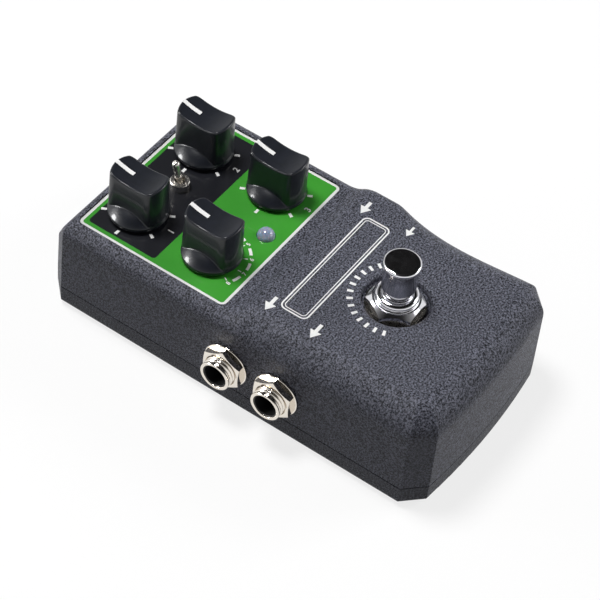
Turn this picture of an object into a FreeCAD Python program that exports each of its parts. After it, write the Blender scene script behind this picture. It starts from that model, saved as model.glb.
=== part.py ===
import FreeCAD, Part
import Sketcher
import math
import os

# A compact stereo echo pedal in a die-cast case, in millimetres.
# The frame: +X to the player's right, +Y away from the player (the knob end), +Z up.
# The origin is on the floor, under the middle of the case.

os.makedirs("parts", exist_ok=True)
doc = FreeCAD.newDocument("EchoPedal")
sheet = doc.addObject("Spreadsheet::Sheet", "Sizes")
places = doc.addObject("Spreadsheet::Sheet", "Places")


class Size:
    """A length that carries its number and the expression that gives it."""

    def __init__(self, number, text):
        self.number = number
        self.text = text

    def __add__(self, other):
        return Size(self.number + number(other), f"({self.text} + {text(other)})")

    def __radd__(self, other):
        return Size(number(other) + self.number, f"({text(other)} + {self.text})")

    def __sub__(self, other):
        return Size(self.number - number(other), f"({self.text} - {text(other)})")

    def __rsub__(self, other):
        return Size(number(other) - self.number, f"({text(other)} - {self.text})")

    def __mul__(self, other):
        return Size(self.number * number(other), f"({self.text} * {text(other)})")

    __rmul__ = __mul__

    def __truediv__(self, other):
        return Size(self.number / number(other), f"({self.text} / {text(other)})")

    def __neg__(self):
        return Size(-self.number, f"(0 - {self.text})")


def number(value):
    return value.number if isinstance(value, Size) else float(value)


def text(value):
    return value.text if isinstance(value, Size) else repr(value)


def root(value):
    return Size(math.sqrt(number(value)), f"sqrt({text(value)})")


def tangent(angle):
    """Tangent of an angle in degrees."""
    return Size(math.tan(math.radians(number(angle))), f"tan({text(angle)} * 1 deg)")


def size(alias, value, meaning):
    """A driving size: a plain number in its own cell."""
    row = size.row = size.row + 1
    sheet.set(f"A{row}", meaning)
    sheet.set(f"B{row}", str(value))
    sheet.setAlias(f"B{row}", alias)
    return Size(value, f"Sizes.{alias}")


size.row = 0


def place(alias, value, meaning):
    """A size worked out from the driving ones, kept under its own name."""
    row = place.row = place.row + 1
    places.set(f"A{row}", meaning)
    places.set(f"B{row}", "=" + value.text)
    places.setAlias(f"B{row}", alias)
    return Size(value.number, f"Places.{alias}")


place.row = 0

# Case
foot_height = size("foot_height", 1.0, "rubber pad under the tray")
case_width = size("case_width", 63.0, "over the side walls at the seam")
case_length = size("case_length", 122.0, "rear wall to the middle of the bowed front")
front_bow = size("front_bow", 1.6, "how far the front wall bows out")
corner_cut = size("corner_cut", 5.4, "leg of the cut upright corners")
tray_height = size("tray_height", 5.9, "outer wall of the base tray")
seam_gap = size("seam_gap", 0.3, "shadow line between tray and shell")
wall_draft = size("wall_draft", 1.2, "degrees of draft on the shell walls")
case_wall = size("case_wall", 2.0, "side walls of the shell and the tray")
tray_floor = size("tray_floor", 1.6, "floor of the tray")
rear_deck_height = size("rear_deck_height", 30.9, "top face round the control plate")
front_deck_rise = size("front_deck_rise", 3.1, "footswitch deck above the rear deck")
ramp_length = size("ramp_length", 9.5, "S-curved ramp between the two decks")
rear_edge_round = size("rear_edge_round", 4.0, "rounding of the top edges round the control plate")
front_edge_round = size("front_edge_round", 8.0, "rounding of the top edges round the footswitch")
deck_wall = size("deck_wall", 1.8, "metal left under the plate and the footswitch dish")
slope_margin = size("slope_margin", 1.6, "plate's rear edge to the slope behind it")
slope_angle = size("slope_angle", 61.6, "degrees that the top of the rear wall leans from level")
slope_round = size("slope_round", 2.6, "radius between the rear deck and the slope")
slope_flat = size("slope_flat", 1.2, "length of deck and of slope that the radius takes")
slope_edge_round = size("slope_edge_round", 1.2, "radius between the slope and the walls")

# Control plate
panel_side_margin = size("panel_side_margin", 4.3, "side wall at the seam to the plate's edge")
panel_length = size("panel_length", 47.2, "control plate front to rear")
panel_thickness = size("panel_thickness", 0.8, "control plate")
panel_corner = size("panel_corner", 1.6, "corner radius of the control plate")
panel_margin = size("panel_margin", 7.6, "rear wall to the plate's rear edge")
panel_sink = size("panel_sink", 0.4, "plate's face below the rear deck")
panel_clearance = size("panel_clearance", 0.2, "gap round the plate in its recess")

# Case fastening
tray_round = size("tray_round", 1.2, "rounding under the tray")
rim_wall = size("rim_wall", 1.0, "locating rim inside the shell's wall")
rim_height = size("rim_height", 1.3, "locating rim above the tray's edge")
rim_clearance = size("rim_clearance", 0.15, "between the rim and the shell's wall")
boss_radius = size("boss_radius", 3.25, "screw bosses of the shell and pillars of the tray")
boss_inset_side = size("boss_inset_side", 5.3, "side wall to a boss")
boss_inset_rear = size("boss_inset_rear", 6.2, "rear wall to a boss")
boss_inset_front = size("boss_inset_front", 5.8, "front wall at the cut corners to a boss")
boss_bite = size("boss_bite", 0.45, "how far the bosses run into the deck")
boss_gap = size("boss_gap", 0.1, "between a pillar and its boss")
boss_start = size("boss_start", 1.3, "lower end of a boss above the shell's lower edge")
screw_radius = size("screw_radius", 1.45, "case screw shank")
screw_length = size("screw_length", 12.0, "case screw over its head")
screw_head_radius = size("screw_head_radius", 2.8, "countersunk head")
thread_clearance = size("thread_clearance", 0.05, "round a screw in its threaded hole")
hole_clearance = size("hole_clearance", 0.15, "round a screw in a plain hole")
foot_side = size("foot_side", 12.0, "square rubber pad")
foot_corner = size("foot_corner", 1.6, "corner radius of a pad")
foot_inset_side = size("foot_inset_side", 12.5, "side wall to a pad's centre")
foot_inset_end = size("foot_inset_end", 17.0, "end of the case to a pad's centre")
cut_past = size("cut_past", 2.0, "how far a cut runs past the face that it opens")

# Knobs
knob_column = size("knob_column", 14.65, "knob axis from the middle")
knob_spacing = size("knob_spacing", 24.1, "rear knob axis to front knob axis")
knob_row_inset = size("knob_row_inset", 10.3, "plate's rear edge to the rear knobs")
knob_radius = size("knob_radius", 8.2, "skirt")
knob_height = size("knob_height", 14.5, "skirt's lower edge to the grip's ends")
knob_lift = size("knob_lift", 1.0, "running gap over the plate")
skirt_height = size("skirt_height", 8.0, "top of the domed skirt")
skirt_crown = size("skirt_crown", 11.0, "radius of the dome")
skirt_shoulder = size("skirt_shoulder", 3.2, "radius between the dome and the skirt's wall")
grip_width = size("grip_width", 9.0, "bar across")
grip_radius = size("grip_radius", 8.0, "rounded ends of the bar at its foot")
grip_foot = size("grip_foot", 3.0, "where the bar's taper starts")
grip_draft = size("grip_draft", 2.0, "degrees of taper on the bar")
grip_hollow = size("grip_hollow", 1.4, "depth of the finger hollow on top")
grip_round = size("grip_round", 0.8, "rounded edges of the bar")
pointer_width = size("pointer_width", 1.3, "pointer groove")
pointer_depth = size("pointer_depth", 0.3, "pointer groove")
pointer_start = size("pointer_start", 1.7, "knob axis to the groove's inner end")
pointer_drop = size("pointer_drop", 2.6, "groove down the end of the bar")
knob_pocket_radius = size("knob_pocket_radius", 6.5, "hollow over the nut")
knob_pocket_depth = size("knob_pocket_depth", 2.7, "hollow over the nut")
knob_bore_depth = size("knob_bore_depth", 11.0, "shaft hole")
knob_fit = size("knob_fit", 0.05, "round the shaft in the knob")

# Potentiometers
shaft_radius = size("shaft_radius", 3.0, "potentiometer shaft")
shaft_fit = size("shaft_fit", 0.05, "running gap of a shaft in its bush")
shaft_reach = size("shaft_reach", 10.2, "shaft above the plate")
pot_side = size("pot_side", 10.0, "square body")
pot_height = size("pot_height", 5.0, "body")
pot_bush_radius = size("pot_bush_radius", 3.5, "threaded bush")
pot_bush_rise = size("pot_bush_rise", 2.6, "bush above the plate")
pot_hole_clearance = size("pot_hole_clearance", 0.1, "round a bush in the plate and the deck")
wiper_radius = size("wiper_radius", 3.8, "disc inside the body")
wiper_height = size("wiper_height", 0.8, "disc inside the body")
wiper_clearance = size("wiper_clearance", 0.3, "round the disc")
pot_nut_flats = size("pot_nut_flats", 10.0, "across flats")
pot_nut_height = size("pot_nut_height", 2.0, "nut")
nut_bevel = size("nut_bevel", 0.4, "bevelled corners of every nut")
seat_gap = size("seat_gap", 0.05, "between parts that are clamped or soldered together")

# Toggle switch
toggle_inset = size("toggle_inset", 13.0, "plate's rear edge to the toggle")
toggle_width = size("toggle_width", 8.2, "body across")
toggle_depth = size("toggle_depth", 6.0, "body front to rear")
toggle_height = size("toggle_height", 5.0, "body")
toggle_bush_radius = size("toggle_bush_radius", 2.0, "threaded bush")
toggle_bush_rise = size("toggle_bush_rise", 2.6, "bush above the plate")
toggle_bore = size("toggle_bore", 1.6, "bore of the bush")
toggle_nut_radius = size("toggle_nut_radius", 2.7, "round nut")
toggle_nut_height = size("toggle_nut_height", 2.4, "round nut")
pivot_rise = size("pivot_rise", 0.1, "lever pivot above the plate")
lever_ball_fit = size("lever_ball_fit", 0.08, "round the pivot ball in the bush")
lever_reach = size("lever_reach", 8.5, "pivot to tip")
lever_neck = size("lever_neck", 0.75, "lever at the pivot")
lever_end = size("lever_end", 1.1, "rounded tip")
lever_lean = size("lever_lean", 12.0, "degrees of lean to the rear")

# Status lamp
lamp_inset = size("lamp_inset", 5.8, "plate's front edge to the lamp")
lamp_radius = size("lamp_radius", 2.5, "lamp")
lamp_rise = size("lamp_rise", 2.3, "lamp above the plate")
lamp_length = size("lamp_length", 8.6, "lamp over its flange")
lamp_flange_radius = size("lamp_flange_radius", 2.9, "flange")
lamp_flange_height = size("lamp_flange_height", 1.0, "flange")
lamp_clearance = size("lamp_clearance", 0.1, "round the lamp")
lead_spacing = size("lead_spacing", 2.54, "between the two leads")
lead_side = size("lead_side", 0.5, "square lead")
lead_channel = size("lead_channel", 1.0, "square channel of a lead in the sleeve")
lead_hole = size("lead_hole", 0.5, "radius of a lead's hole in the board")

# Footswitch
switch_inset = size("switch_inset", 32.25, "front of the case to the footswitch axis")
dish_radius = size("dish_radius", 9.0, "dish round the footswitch")
dish_depth = size("dish_depth", 2.1, "dish below the front deck")
dish_lip = size("dish_lip", 0.8, "rounded lip of the dish")
switch_bush_radius = size("switch_bush_radius", 6.0, "threaded bush")
switch_bush_rise = size("switch_bush_rise", 5.4, "bush above the dish's floor")
switch_hole_clearance = size("switch_hole_clearance", 0.1, "round the bush in the deck")
switch_washer_radius = size("switch_washer_radius", 8.2, "washer")
switch_washer_height = size("switch_washer_height", 0.5, "washer")
switch_nut_flats = size("switch_nut_flats", 14.0, "across flats")
switch_nut_height = size("switch_nut_height", 2.8, "nut")
switch_side = size("switch_side", 15.0, "square body")
switch_height = size("switch_height", 14.0, "body")
switch_chamber_radius = size("switch_chamber_radius", 4.8, "chamber of the plunger")
switch_chamber_top = size("switch_chamber_top", 4.75, "chamber below the top of the body")
switch_chamber_height = size("switch_chamber_height", 6.6, "chamber")
plunger_radius = size("plunger_radius", 3.8, "neck that runs in the bush")
plunger_fit = size("plunger_fit", 0.05, "running gap of the neck in the bush")
plunger_flange_radius = size("plunger_flange_radius", 4.4, "stop under the bush")
plunger_flange_height = size("plunger_flange_height", 1.0, "stop")
plunger_play = size("plunger_play", 0.1, "stop to the top of its chamber")
button_radius = size("button_radius", 4.6, "button's stem above the bush")
button_rim_radius = size("button_rim_radius", 5.0, "button's head")
button_rim_height = size("button_rim_height", 1.5, "button's head")
button_bevel = size("button_bevel", 0.5, "bevel of the head")
button_height = size("button_height", 14.5, "top of the button above the front deck")
button_gap = size("button_gap", 2.3, "button's stem above the bush at rest")
spring_radius = size("spring_radius", 3.5, "outside of the return spring")
spring_wire = size("spring_wire", 0.7, "thickness of the spring's wire")
pin_side = size("pin_side", 0.9, "terminal pins under the switch")
pin_pitch = size("pin_pitch", 4.5, "between terminal pins")

# Jacks
jack_height = size("jack_height", 15.5, "jack axes above the floor")
jack_inset = size("jack_inset", 60.0, "rear wall to the left rear jack")
jack_stagger = size("jack_stagger", 1.0, "right jacks set back from the left ones")
jack_pitch = size("jack_pitch", 15.9, "rear jack to front jack")
jack_bore = size("jack_bore", 3.25, "bore for a 6.35 mm plug")
jack_relief = size("jack_relief", 3.6, "wider bore inside the wall and in the body")
jack_guide_start = size("jack_guide_start", 0.2, "side wall to where the bore narrows")
jack_bush_radius = size("jack_bush_radius", 4.5, "threaded bush")
jack_reach = size("jack_reach", 5.5, "mouth outside the side wall")
jack_hole_clearance = size("jack_hole_clearance", 0.15, "round a bush in the wall")
jack_mouth_bevel = size("jack_mouth_bevel", 0.4, "bevels of the mouth")
jack_washer_radius = size("jack_washer_radius", 7.1, "washer")
jack_washer_height = size("jack_washer_height", 0.6, "washer")
jack_nut_flats = size("jack_nut_flats", 11.6, "across flats")
jack_nut_height = size("jack_nut_height", 2.2, "nut")
jack_body_width = size("jack_body_width", 15.4, "body along the side wall")
jack_body_height = size("jack_body_height", 11.0, "body")
jack_middle_gap = size("jack_middle_gap", 8.0, "middle of the case to a body")
jack_body_gap = size("jack_body_gap", 0.5, "body to the side wall's inner face")
contact_width = size("contact_width", 3.0, "tip contact")
contact_sheet = size("contact_sheet", 0.3, "thickness of the tip contact")
contact_clearance = size("contact_clearance", 0.15, "tip contact outside the bore")
contact_slot_clearance = size("contact_slot_clearance", 0.4, "beside the contact in its slot")
contact_tip = size("contact_tip", 5.25, "inner end of the body to the contact's tip")
contact_span = size("contact_span", 10.5, "tip of the contact to its bend")
contact_tail = size("contact_tail", 0.8, "upturned end past the tip")

# Power inlet
inlet_height = size("inlet_height", 15.0, "inlet axis above the floor")
inlet_width = size("inlet_width", 9.0, "body across")
inlet_depth = size("inlet_depth", 13.5, "body front to rear")
inlet_body_height = size("inlet_body_height", 11.0, "body")
inlet_nose_radius = size("inlet_nose_radius", 4.0, "round nose in the rear wall")
inlet_hole_clearance = size("inlet_hole_clearance", 0.2, "round the nose in the wall")
inlet_recess = size("inlet_recess", 0.4, "nose inside the rear wall's foot line")
inlet_case_gap = size("inlet_case_gap", 0.2, "body to the rear wall's inside")
inlet_headroom = size("inlet_headroom", 0.3, "room over the body")
inlet_bore = size("inlet_bore", 3.1, "bore for the plug")
inlet_bore_depth = size("inlet_bore_depth", 11.0, "bore for the plug")
inlet_pin_radius = size("inlet_pin_radius", 1.05, "centre pin")
inlet_pin_length = size("inlet_pin_length", 9.5, "centre pin")

# Boards
board_thickness = size("board_thickness", 1.6, "both boards")
board_lift = size("board_lift", 5.5, "main board above the tray's floor")
board_inset_side = size("board_inset_side", 4.5, "side wall to the main board's edge")
board_inset_front = size("board_inset_front", 17.0, "front of the case to the main board")
board_inset_rear = size("board_inset_rear", 14.5, "rear wall to the main board's shoulders")
tongue_half_width = size("tongue_half_width", 14.0, "main board's tongue under the inlet")
tongue_inset = size("tongue_inset", 4.0, "rear wall to the end of the tongue")
board_pillar_radius = size("board_pillar_radius", 2.5, "pillars under the main board")
board_screw_side = size("board_screw_side", 5.0, "main board's side edge to its screws")
board_screw_front = size("board_screw_front", 6.0, "main board's front edge to its screws")
board_screw_rear = size("board_screw_rear", 16.5, "main board's shoulders to its screws")
board_screw_radius = size("board_screw_radius", 1.05, "board screw shank")
board_screw_length = size("board_screw_length", 6.0, "board screw under its head")
board_screw_head = size("board_screw_head", 2.3, "board screw head")
board_screw_head_height = size("board_screw_head_height", 1.6, "board screw head")
board_hole = size("board_hole", 1.4, "holes in the main board")
control_board_margin = size("control_board_margin", 3.0, "control board inside the plate's outline")
header_width = size("header_width", 16.0, "connector between the boards")
header_depth = size("header_depth", 5.0, "connector between the boards")
header_inset = size("header_inset", 22.4, "plate's rear edge to the connector")
processor_side = size("processor_side", 14.0, "square processor")
processor_height = size("processor_height", 1.4, "processor")
processor_inset = size("processor_inset", 13.0, "connector to the processor")
converter_width = size("converter_width", 10.0, "converter across")
converter_depth = size("converter_depth", 7.5, "converter front to rear")
converter_height = size("converter_height", 2.3, "converter")
converter_offset = size("converter_offset", 12.0, "middle of the case to the converter")
converter_inset = size("converter_inset", 5.0, "main board's front edge to the converter")
capacitor_radius = size("capacitor_radius", 3.15, "filter capacitors")
capacitor_height = size("capacitor_height", 7.0, "filter capacitors")
capacitor_pitch = size("capacitor_pitch", 7.4, "between capacitors")
capacitor_offset = size("capacitor_offset", 12.0, "middle of the case to the first capacitor")
capacitor_inset = size("capacitor_inset", 4.0, "main board's front edge to the capacitors")

hw = place("half_width", case_width / 2, "half width at the seam")
rear = place("rear_y", case_length / 2, "rear wall at the seam")
front_apex = place("front_apex_y", -case_length / 2, "middle of the front wall at the seam")
front_side = place("front_side_y", front_apex + front_bow, "front wall at the cut corners")
tray_bottom = place("tray_bottom", foot_height + 0, "underside of the tray")
tray_top = place("tray_top", tray_bottom + tray_height, "top edge of the tray's outer wall")
shell_bottom = place("shell_bottom", tray_top + seam_gap, "lower edge of the shell")
rear_deck = place("rear_deck", rear_deck_height + 0, "rear deck")
front_deck = place("front_deck", rear_deck + front_deck_rise, "front deck")
panel_floor = place("panel_floor", rear_deck - panel_sink - panel_thickness, "floor of the plate's recess")
panel_top = place("panel_top", panel_floor + panel_thickness, "face of the plate")
rear_ceiling = place("rear_ceiling", panel_floor - deck_wall, "inside of the rear deck")
panel_side = place("panel_side", hw - panel_side_margin, "plate's side edge")
panel_rear = place("panel_rear", rear - panel_margin, "plate's rear edge")
panel_front = place("panel_front", panel_rear - panel_length, "plate's front edge")
slope_y = place("slope_y", panel_rear + slope_margin, "where the slope would meet the rear deck")
slope_fall = tangent(slope_angle)
slope_wall = place("slope_wall", case_wall * root(slope_fall * slope_fall + 1) / slope_fall,
                   "level thickness of the wall under the slope")
ramp_rear = place("ramp_rear", panel_front - panel_clearance, "foot of the ramp at the plate")
ramp_front = place("ramp_front", ramp_rear - ramp_length, "head of the ramp at the front deck")
dish_floor = place("dish_floor", front_deck - dish_depth, "floor of the footswitch dish")
front_ceiling = place("front_ceiling", dish_floor - deck_wall, "inside of the front deck")
boss_x = place("boss_x", hw - boss_inset_side, "screw bosses")
boss_rear = place("boss_rear", rear - boss_inset_rear, "rear screw bosses")
boss_front = place("boss_front", front_side + boss_inset_front, "front screw bosses")
rear_boss_top = place(
    "rear_boss_top", rear_deck - (boss_rear + boss_radius + case_wall / 2 - slope_y) * slope_fall,
    "upper end of the rear bosses, inside the slope")
boss_bottom = place("boss_bottom", shell_bottom + boss_start, "lower end of the bosses")
rear_knobs = place("rear_knobs", panel_rear - knob_row_inset, "rear knob axes")
front_knobs = place("front_knobs", rear_knobs - knob_spacing, "front knob axes")
toggle_y = place("toggle_y", panel_rear - toggle_inset, "toggle")
lamp_y = place("lamp_y", panel_front + lamp_inset, "status lamp")
pot_top = place("pot_top", rear_ceiling - seat_gap, "top of the potentiometer bodies")
pot_bottom = place("pot_bottom", pot_top - pot_height, "underside of the potentiometer bodies")
control_board_top = place("control_board_top", pot_bottom - seat_gap, "top of the control board")
control_board_bottom = place("control_board_bottom", control_board_top - board_thickness, "underside")
board_bottom = place("board_bottom", tray_bottom + tray_floor + board_lift, "underside of the main board")
board_top = place("board_top", board_bottom + board_thickness, "top of the main board")
room_step = place("room_step", board_top + inlet_body_height + inlet_headroom, "where the room narrows at the rear")
foot_x = place("foot_x", hw - foot_inset_side, "pad centres")
foot_y = place("foot_y", rear - foot_inset_end, "pad centres")
switch_y = place("switch_y", front_apex + switch_inset, "footswitch axis")
jack_rear_y = place("jack_rear_y", rear - jack_inset, "left rear jack")
jack_front_y = place("jack_front_y", jack_rear_y - jack_pitch, "left front jack")
jack_body_end = place("jack_body_end", hw - case_wall - jack_body_gap, "outer end of the jack bodies")
board_side = place("board_side", hw - board_inset_side, "main board's side edge")
board_front = place("board_front", front_apex + board_inset_front, "main board's front edge")
board_rear = place("board_rear", rear - board_inset_rear, "main board's shoulders")
board_screw_x = place("board_screw_x", board_side - board_screw_side, "board screws")
header_y = place("header_y", panel_rear - header_inset, "connector between the boards")

BOSSES = [(boss_x, boss_rear), (-boss_x, boss_rear), (-boss_x, boss_front), (boss_x, boss_front)]
KNOBS = {
    "rear_left": (-knob_column, rear_knobs), "rear_right": (knob_column, rear_knobs),
    "front_left": (-knob_column, front_knobs), "front_right": (knob_column, front_knobs),
}
JACKS = {
    "left_rear": ("about", jack_rear_y), "left_front": ("about", jack_front_y),
    "right_rear": ("Z", jack_rear_y + jack_stagger), "right_front": ("Z", jack_front_y + jack_stagger),
}
BOARD_SCREWS = [
    (x, y) for x in (board_screw_x, -board_screw_x)
    for y in (board_front + board_screw_front, board_rear - board_screw_rear)
]


def make_sketch(body, name, plane, offset=0):
    """A sketch on one of the body's own origin planes, moved along its normal."""
    sketch = body.newObject("Sketcher::SketchObject", name)
    support = [f for f in body.Origin.OriginFeatures if f.Role == plane][0]
    sketch.AttachmentSupport = [(support, "")]
    sketch.MapMode = "FlatFace"
    sketch.AttachmentOffset = FreeCAD.Placement(FreeCAD.Vector(0, 0, number(offset)), FreeCAD.Rotation())
    if isinstance(offset, Size):
        sketch.setExpression("AttachmentOffset.Base.z", offset.text)
    return sketch


def hold(sketch, geo, pos, x, y):
    """Hold a point of the sketch at x, y from its origin."""
    for kind, value, axis in (("DistanceX", x, -2), ("DistanceY", y, -1)):
        length = number(value)
        if abs(length) < 1e-9:
            sketch.addConstraint(Sketcher.Constraint("PointOnObject", geo, pos, axis))
            continue
        if length > 0:
            index = sketch.addConstraint(Sketcher.Constraint(kind, -1, 1, geo, pos, length))
            source = text(value)
        else:
            index = sketch.addConstraint(Sketcher.Constraint(kind, geo, pos, -1, 1, -length))
            source = f"0 - {text(value)}"
        if isinstance(value, Size):
            sketch.setExpression(f"Constraints[{index}]", source)


def draw_outline(sketch, corners, arcs=None):
    """A closed outline through the corners. arcs gives an edge a radius: + turns left, - right."""
    arcs = arcs or {}
    points = [FreeCAD.Vector(number(x), number(y), 0) for x, y in corners]
    first = len(sketch.Geometry)
    ends = []
    for i, start in enumerate(points):
        end = points[(i + 1) % len(points)]
        if i not in arcs:
            sketch.addGeometry(Part.LineSegment(start, end))
            ends.append((1, 2))
            continue
        radius = abs(number(arcs[i]))
        left = 1 if number(arcs[i]) > 0 else -1
        chord = end - start
        away = math.sqrt(max(radius ** 2 - chord.Length ** 2 / 4, 0))
        side = FreeCAD.Vector(-chord.y, chord.x, 0).normalize()
        centre = (start + end) * 0.5 + side * (left * away)
        turn = [math.atan2(p.y - centre.y, p.x - centre.x) for p in (start, end)]
        circle = Part.Circle(centre, FreeCAD.Vector(0, 0, 1), radius)
        if left > 0:
            sketch.addGeometry(Part.ArcOfCircle(circle, turn[0], turn[1]))
            ends.append((1, 2))
        else:
            sketch.addGeometry(Part.ArcOfCircle(circle, turn[1], turn[0]))
            ends.append((2, 1))
    for i, (x, y) in enumerate(corners):
        j = (i + 1) % len(corners)
        join = Sketcher.Constraint("Coincident", first + i, ends[i][1], first + j, ends[j][0])
        sketch.addConstraint(join)
        hold(sketch, first + i, ends[i][0], x, y)
    for i, radius in arcs.items():
        index = sketch.addConstraint(Sketcher.Constraint("Radius", first + i, abs(number(radius))))
        if isinstance(radius, Size):
            source = radius.text if radius.number > 0 else f"0 - {radius.text}"
            sketch.setExpression(f"Constraints[{index}]", source)


def draw_circle(sketch, x, y, radius):
    centre = FreeCAD.Vector(number(x), number(y), 0)
    geo = sketch.addGeometry(Part.Circle(centre, FreeCAD.Vector(0, 0, 1), number(radius)))
    if number(x) == 0 and number(y) == 0:
        sketch.addConstraint(Sketcher.Constraint("Coincident", geo, 3, -1, 1))
    else:
        hold(sketch, geo, 3, x, y)
    index = sketch.addConstraint(Sketcher.Constraint("Radius", geo, number(radius)))
    if isinstance(radius, Size):
        sketch.setExpression(f"Constraints[{index}]", radius.text)


def rounded_rectangle(left, right, front, back, radius):
    """Corners and arcs of a rectangle with round corners, anticlockwise from the front left."""
    corners = [
        (left + radius, front), (right - radius, front),
        (right, front + radius), (right, back - radius),
        (right - radius, back), (left + radius, back),
        (left, back - radius), (left, front + radius),
    ]
    return corners, {1: radius, 3: radius, 5: radius, 7: radius}


def extrude(body, kind, sketch, length, both=False, forward=False, taper=None):
    """A pad or a pocket. forward runs a pocket along the sketch's normal."""
    feature = body.newObject(f"PartDesign::{kind}", sketch.Name + "_" + kind.lower())
    feature.Profile = sketch
    feature.Length = number(length)
    if isinstance(length, Size):
        feature.setExpression("Length", length.text)
    if both:
        feature.SideType = "Symmetric"
    if forward:
        feature.Reversed = True
    if taper is not None:
        feature.TaperAngle = number(taper)
        if isinstance(taper, Size):
            feature.setExpression("TaperAngle", taper.text)
    return feature


def pad(body, sketch, length, **how):
    return extrude(body, "Pad", sketch, length, **how)


def pocket(body, sketch, length, **how):
    return extrude(body, "Pocket", sketch, length, **how)


def round_edges(body, name, radius, choose):
    """A fillet on the edges of the body's present shape that choose picks."""
    doc.recompute()
    tip = body.Tip
    edges = [f"Edge{i + 1}" for i, edge in enumerate(tip.Shape.Edges) if choose(edge)]
    feature = body.newObject("PartDesign::Fillet", name)
    feature.Base = (tip, edges)
    feature.Radius = number(radius)
    if isinstance(radius, Size):
        feature.setExpression("Radius", radius.text)
    return feature


def new_body(label):
    return doc.addObject("PartDesign::Body", label)


# Simple solids

def bind(item, name, value):
    """Give a property its value, with its expression where it has one."""
    setattr(item, name, number(value))
    if isinstance(value, Size):
        item.setExpression(name, value.text)


FACING = {
    "Z": ((0, 0, 1), 0), "-Z": ((1, 0, 0), 180),
    "X": ((0, 1, 0), 90), "-X": ((0, 1, 0), -90),
    "Y": ((1, 0, 0), -90), "-Y": ((1, 0, 0), 90),
    "about": ((0, 0, 1), 180),
}


def put(item, x, y, z, facing="Z"):
    """Stand an item at a point, with its own Z turned to face along an axis, or turned about."""
    axis, angle = FACING[facing]
    turn = FreeCAD.Rotation(FreeCAD.Vector(*axis), angle)
    item.Placement = FreeCAD.Placement(FreeCAD.Vector(number(x), number(y), number(z)), turn)
    for letter, value in zip("xyz", (x, y, z)):
        if isinstance(value, Size):
            item.setExpression(f"Placement.Base.{letter}", value.text)
    return item


def cylinder(name, radius, length, x=0, y=0, z=0, facing="Z"):
    item = doc.addObject("Part::Cylinder", name)
    bind(item, "Radius", radius)
    bind(item, "Height", length)
    return put(item, x, y, z, facing)


def cone(name, foot, top, length, x=0, y=0, z=0, facing="Z"):
    item = doc.addObject("Part::Cone", name)
    bind(item, "Radius1", foot)
    bind(item, "Radius2", top)
    bind(item, "Height", length)
    return put(item, x, y, z, facing)


def ball(name, radius, x, y, z):
    item = doc.addObject("Part::Sphere", name)
    bind(item, "Radius", radius)
    return put(item, x, y, z)


def block(name, width, depth, height, x=0, y=0, z=0):
    """A block that is centred on x, y and stands on z."""
    item = doc.addObject("Part::Box", name)
    bind(item, "Length", width)
    bind(item, "Width", depth)
    bind(item, "Height", height)
    return put(item, x - width / 2, y - depth / 2, z)


def combine(kind, label, parts):
    item = doc.addObject(f"Part::{kind}", label)
    if kind == "Compound":
        item.Links = parts
    else:
        item.Shapes = parts
    return item


def join(label, *parts):
    return combine("MultiFuse", label, list(parts))


def group(label, parts):
    return combine("Compound", label, list(parts))


def carve(label, base, *tools):
    item = doc.addObject("Part::Cut", label)
    item.Base = base
    item.Tool = tools[0] if len(tools) == 1 else join(label + "_cuts", *tools)
    return item


def turned(label, profile, arcs=None, x=0, y=0, z=0, facing="Z"):
    """A body turned from its half profile, given as radius and height."""
    body = new_body(label)
    sketch = make_sketch(body, label + "_profile", "XZ_Plane")
    draw_outline(sketch, profile, arcs)
    feature = body.newObject("PartDesign::Revolution", label + "_turn")
    feature.Profile = sketch
    feature.ReferenceAxis = (sketch, ["V_Axis"])
    feature.Angle = 360
    return put(body, x, y, z, facing)


def ring(label, outer, bore, height, x=0, y=0, z=0, facing="Z"):
    profile = [(bore, 0), (outer, 0), (outer, height), (bore, height)]
    return turned(label, profile, x=x, y=y, z=z, facing=facing)


def hex_nut(label, flats, bore, height, x, y, z, facing="Z"):
    """A hexagon whose corners are bevelled on its outer face."""
    corner = flats / math.sqrt(3)
    chamfer = corner - nut_bevel
    hexagon = doc.addObject("Part::Prism", label + "_hexagon")
    hexagon.Polygon = 6
    bind(hexagon, "Circumradius", corner)
    bind(hexagon, "Height", height)
    bevelled = turned(label + "_bevels", [
        (bore, 0), (corner, 0), (corner, height - nut_bevel / 2), (chamfer, height), (bore, height),
    ])
    return put(combine("MultiCommon", label, [hexagon, bevelled]), x, y, z, facing)


# Top shell

# Faces that look up or down less than this are walls.
WALL_LIFT = 0.1


def case_outline(inset=0):
    """Plan of the case at the seam, or of its inside when inset by a wall."""
    cut = corner_cut - inset * (2 - math.sqrt(2))
    side = hw - inset
    back = rear - inset
    front = front_side + inset
    flat = side - cut
    bow = (flat * flat + front_bow * front_bow) / (front_bow * 2)
    corners = [
        (side, back - cut), (flat, back), (-flat, back), (-side, back - cut),
        (-side, front + cut), (-flat, front), (flat, front), (side, front + cut),
    ]
    return corners, {5: bow}


def lifts(shape, edge):
    """How far the faces beside an edge look up or down at its middle: 0 a wall, 1 a deck."""
    middle = edge.valueAt((edge.FirstParameter + edge.LastParameter) / 2)
    found = []
    for face in shape.ancestorsOfType(edge, Part.Face):
        u, v = face.Surface.parameter(middle)
        found.append(abs(face.normalAt(u, v).z))
    return min(found), max(found)


def panel_holes(sketch, pot, toggle, lamp):
    """The holes that the plate and the deck under it share."""
    for x, y in KNOBS.values():
        draw_circle(sketch, x, y, pot)
    draw_circle(sketch, 0, toggle_y, toggle)
    draw_circle(sketch, 0, lamp_y, lamp)


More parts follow.
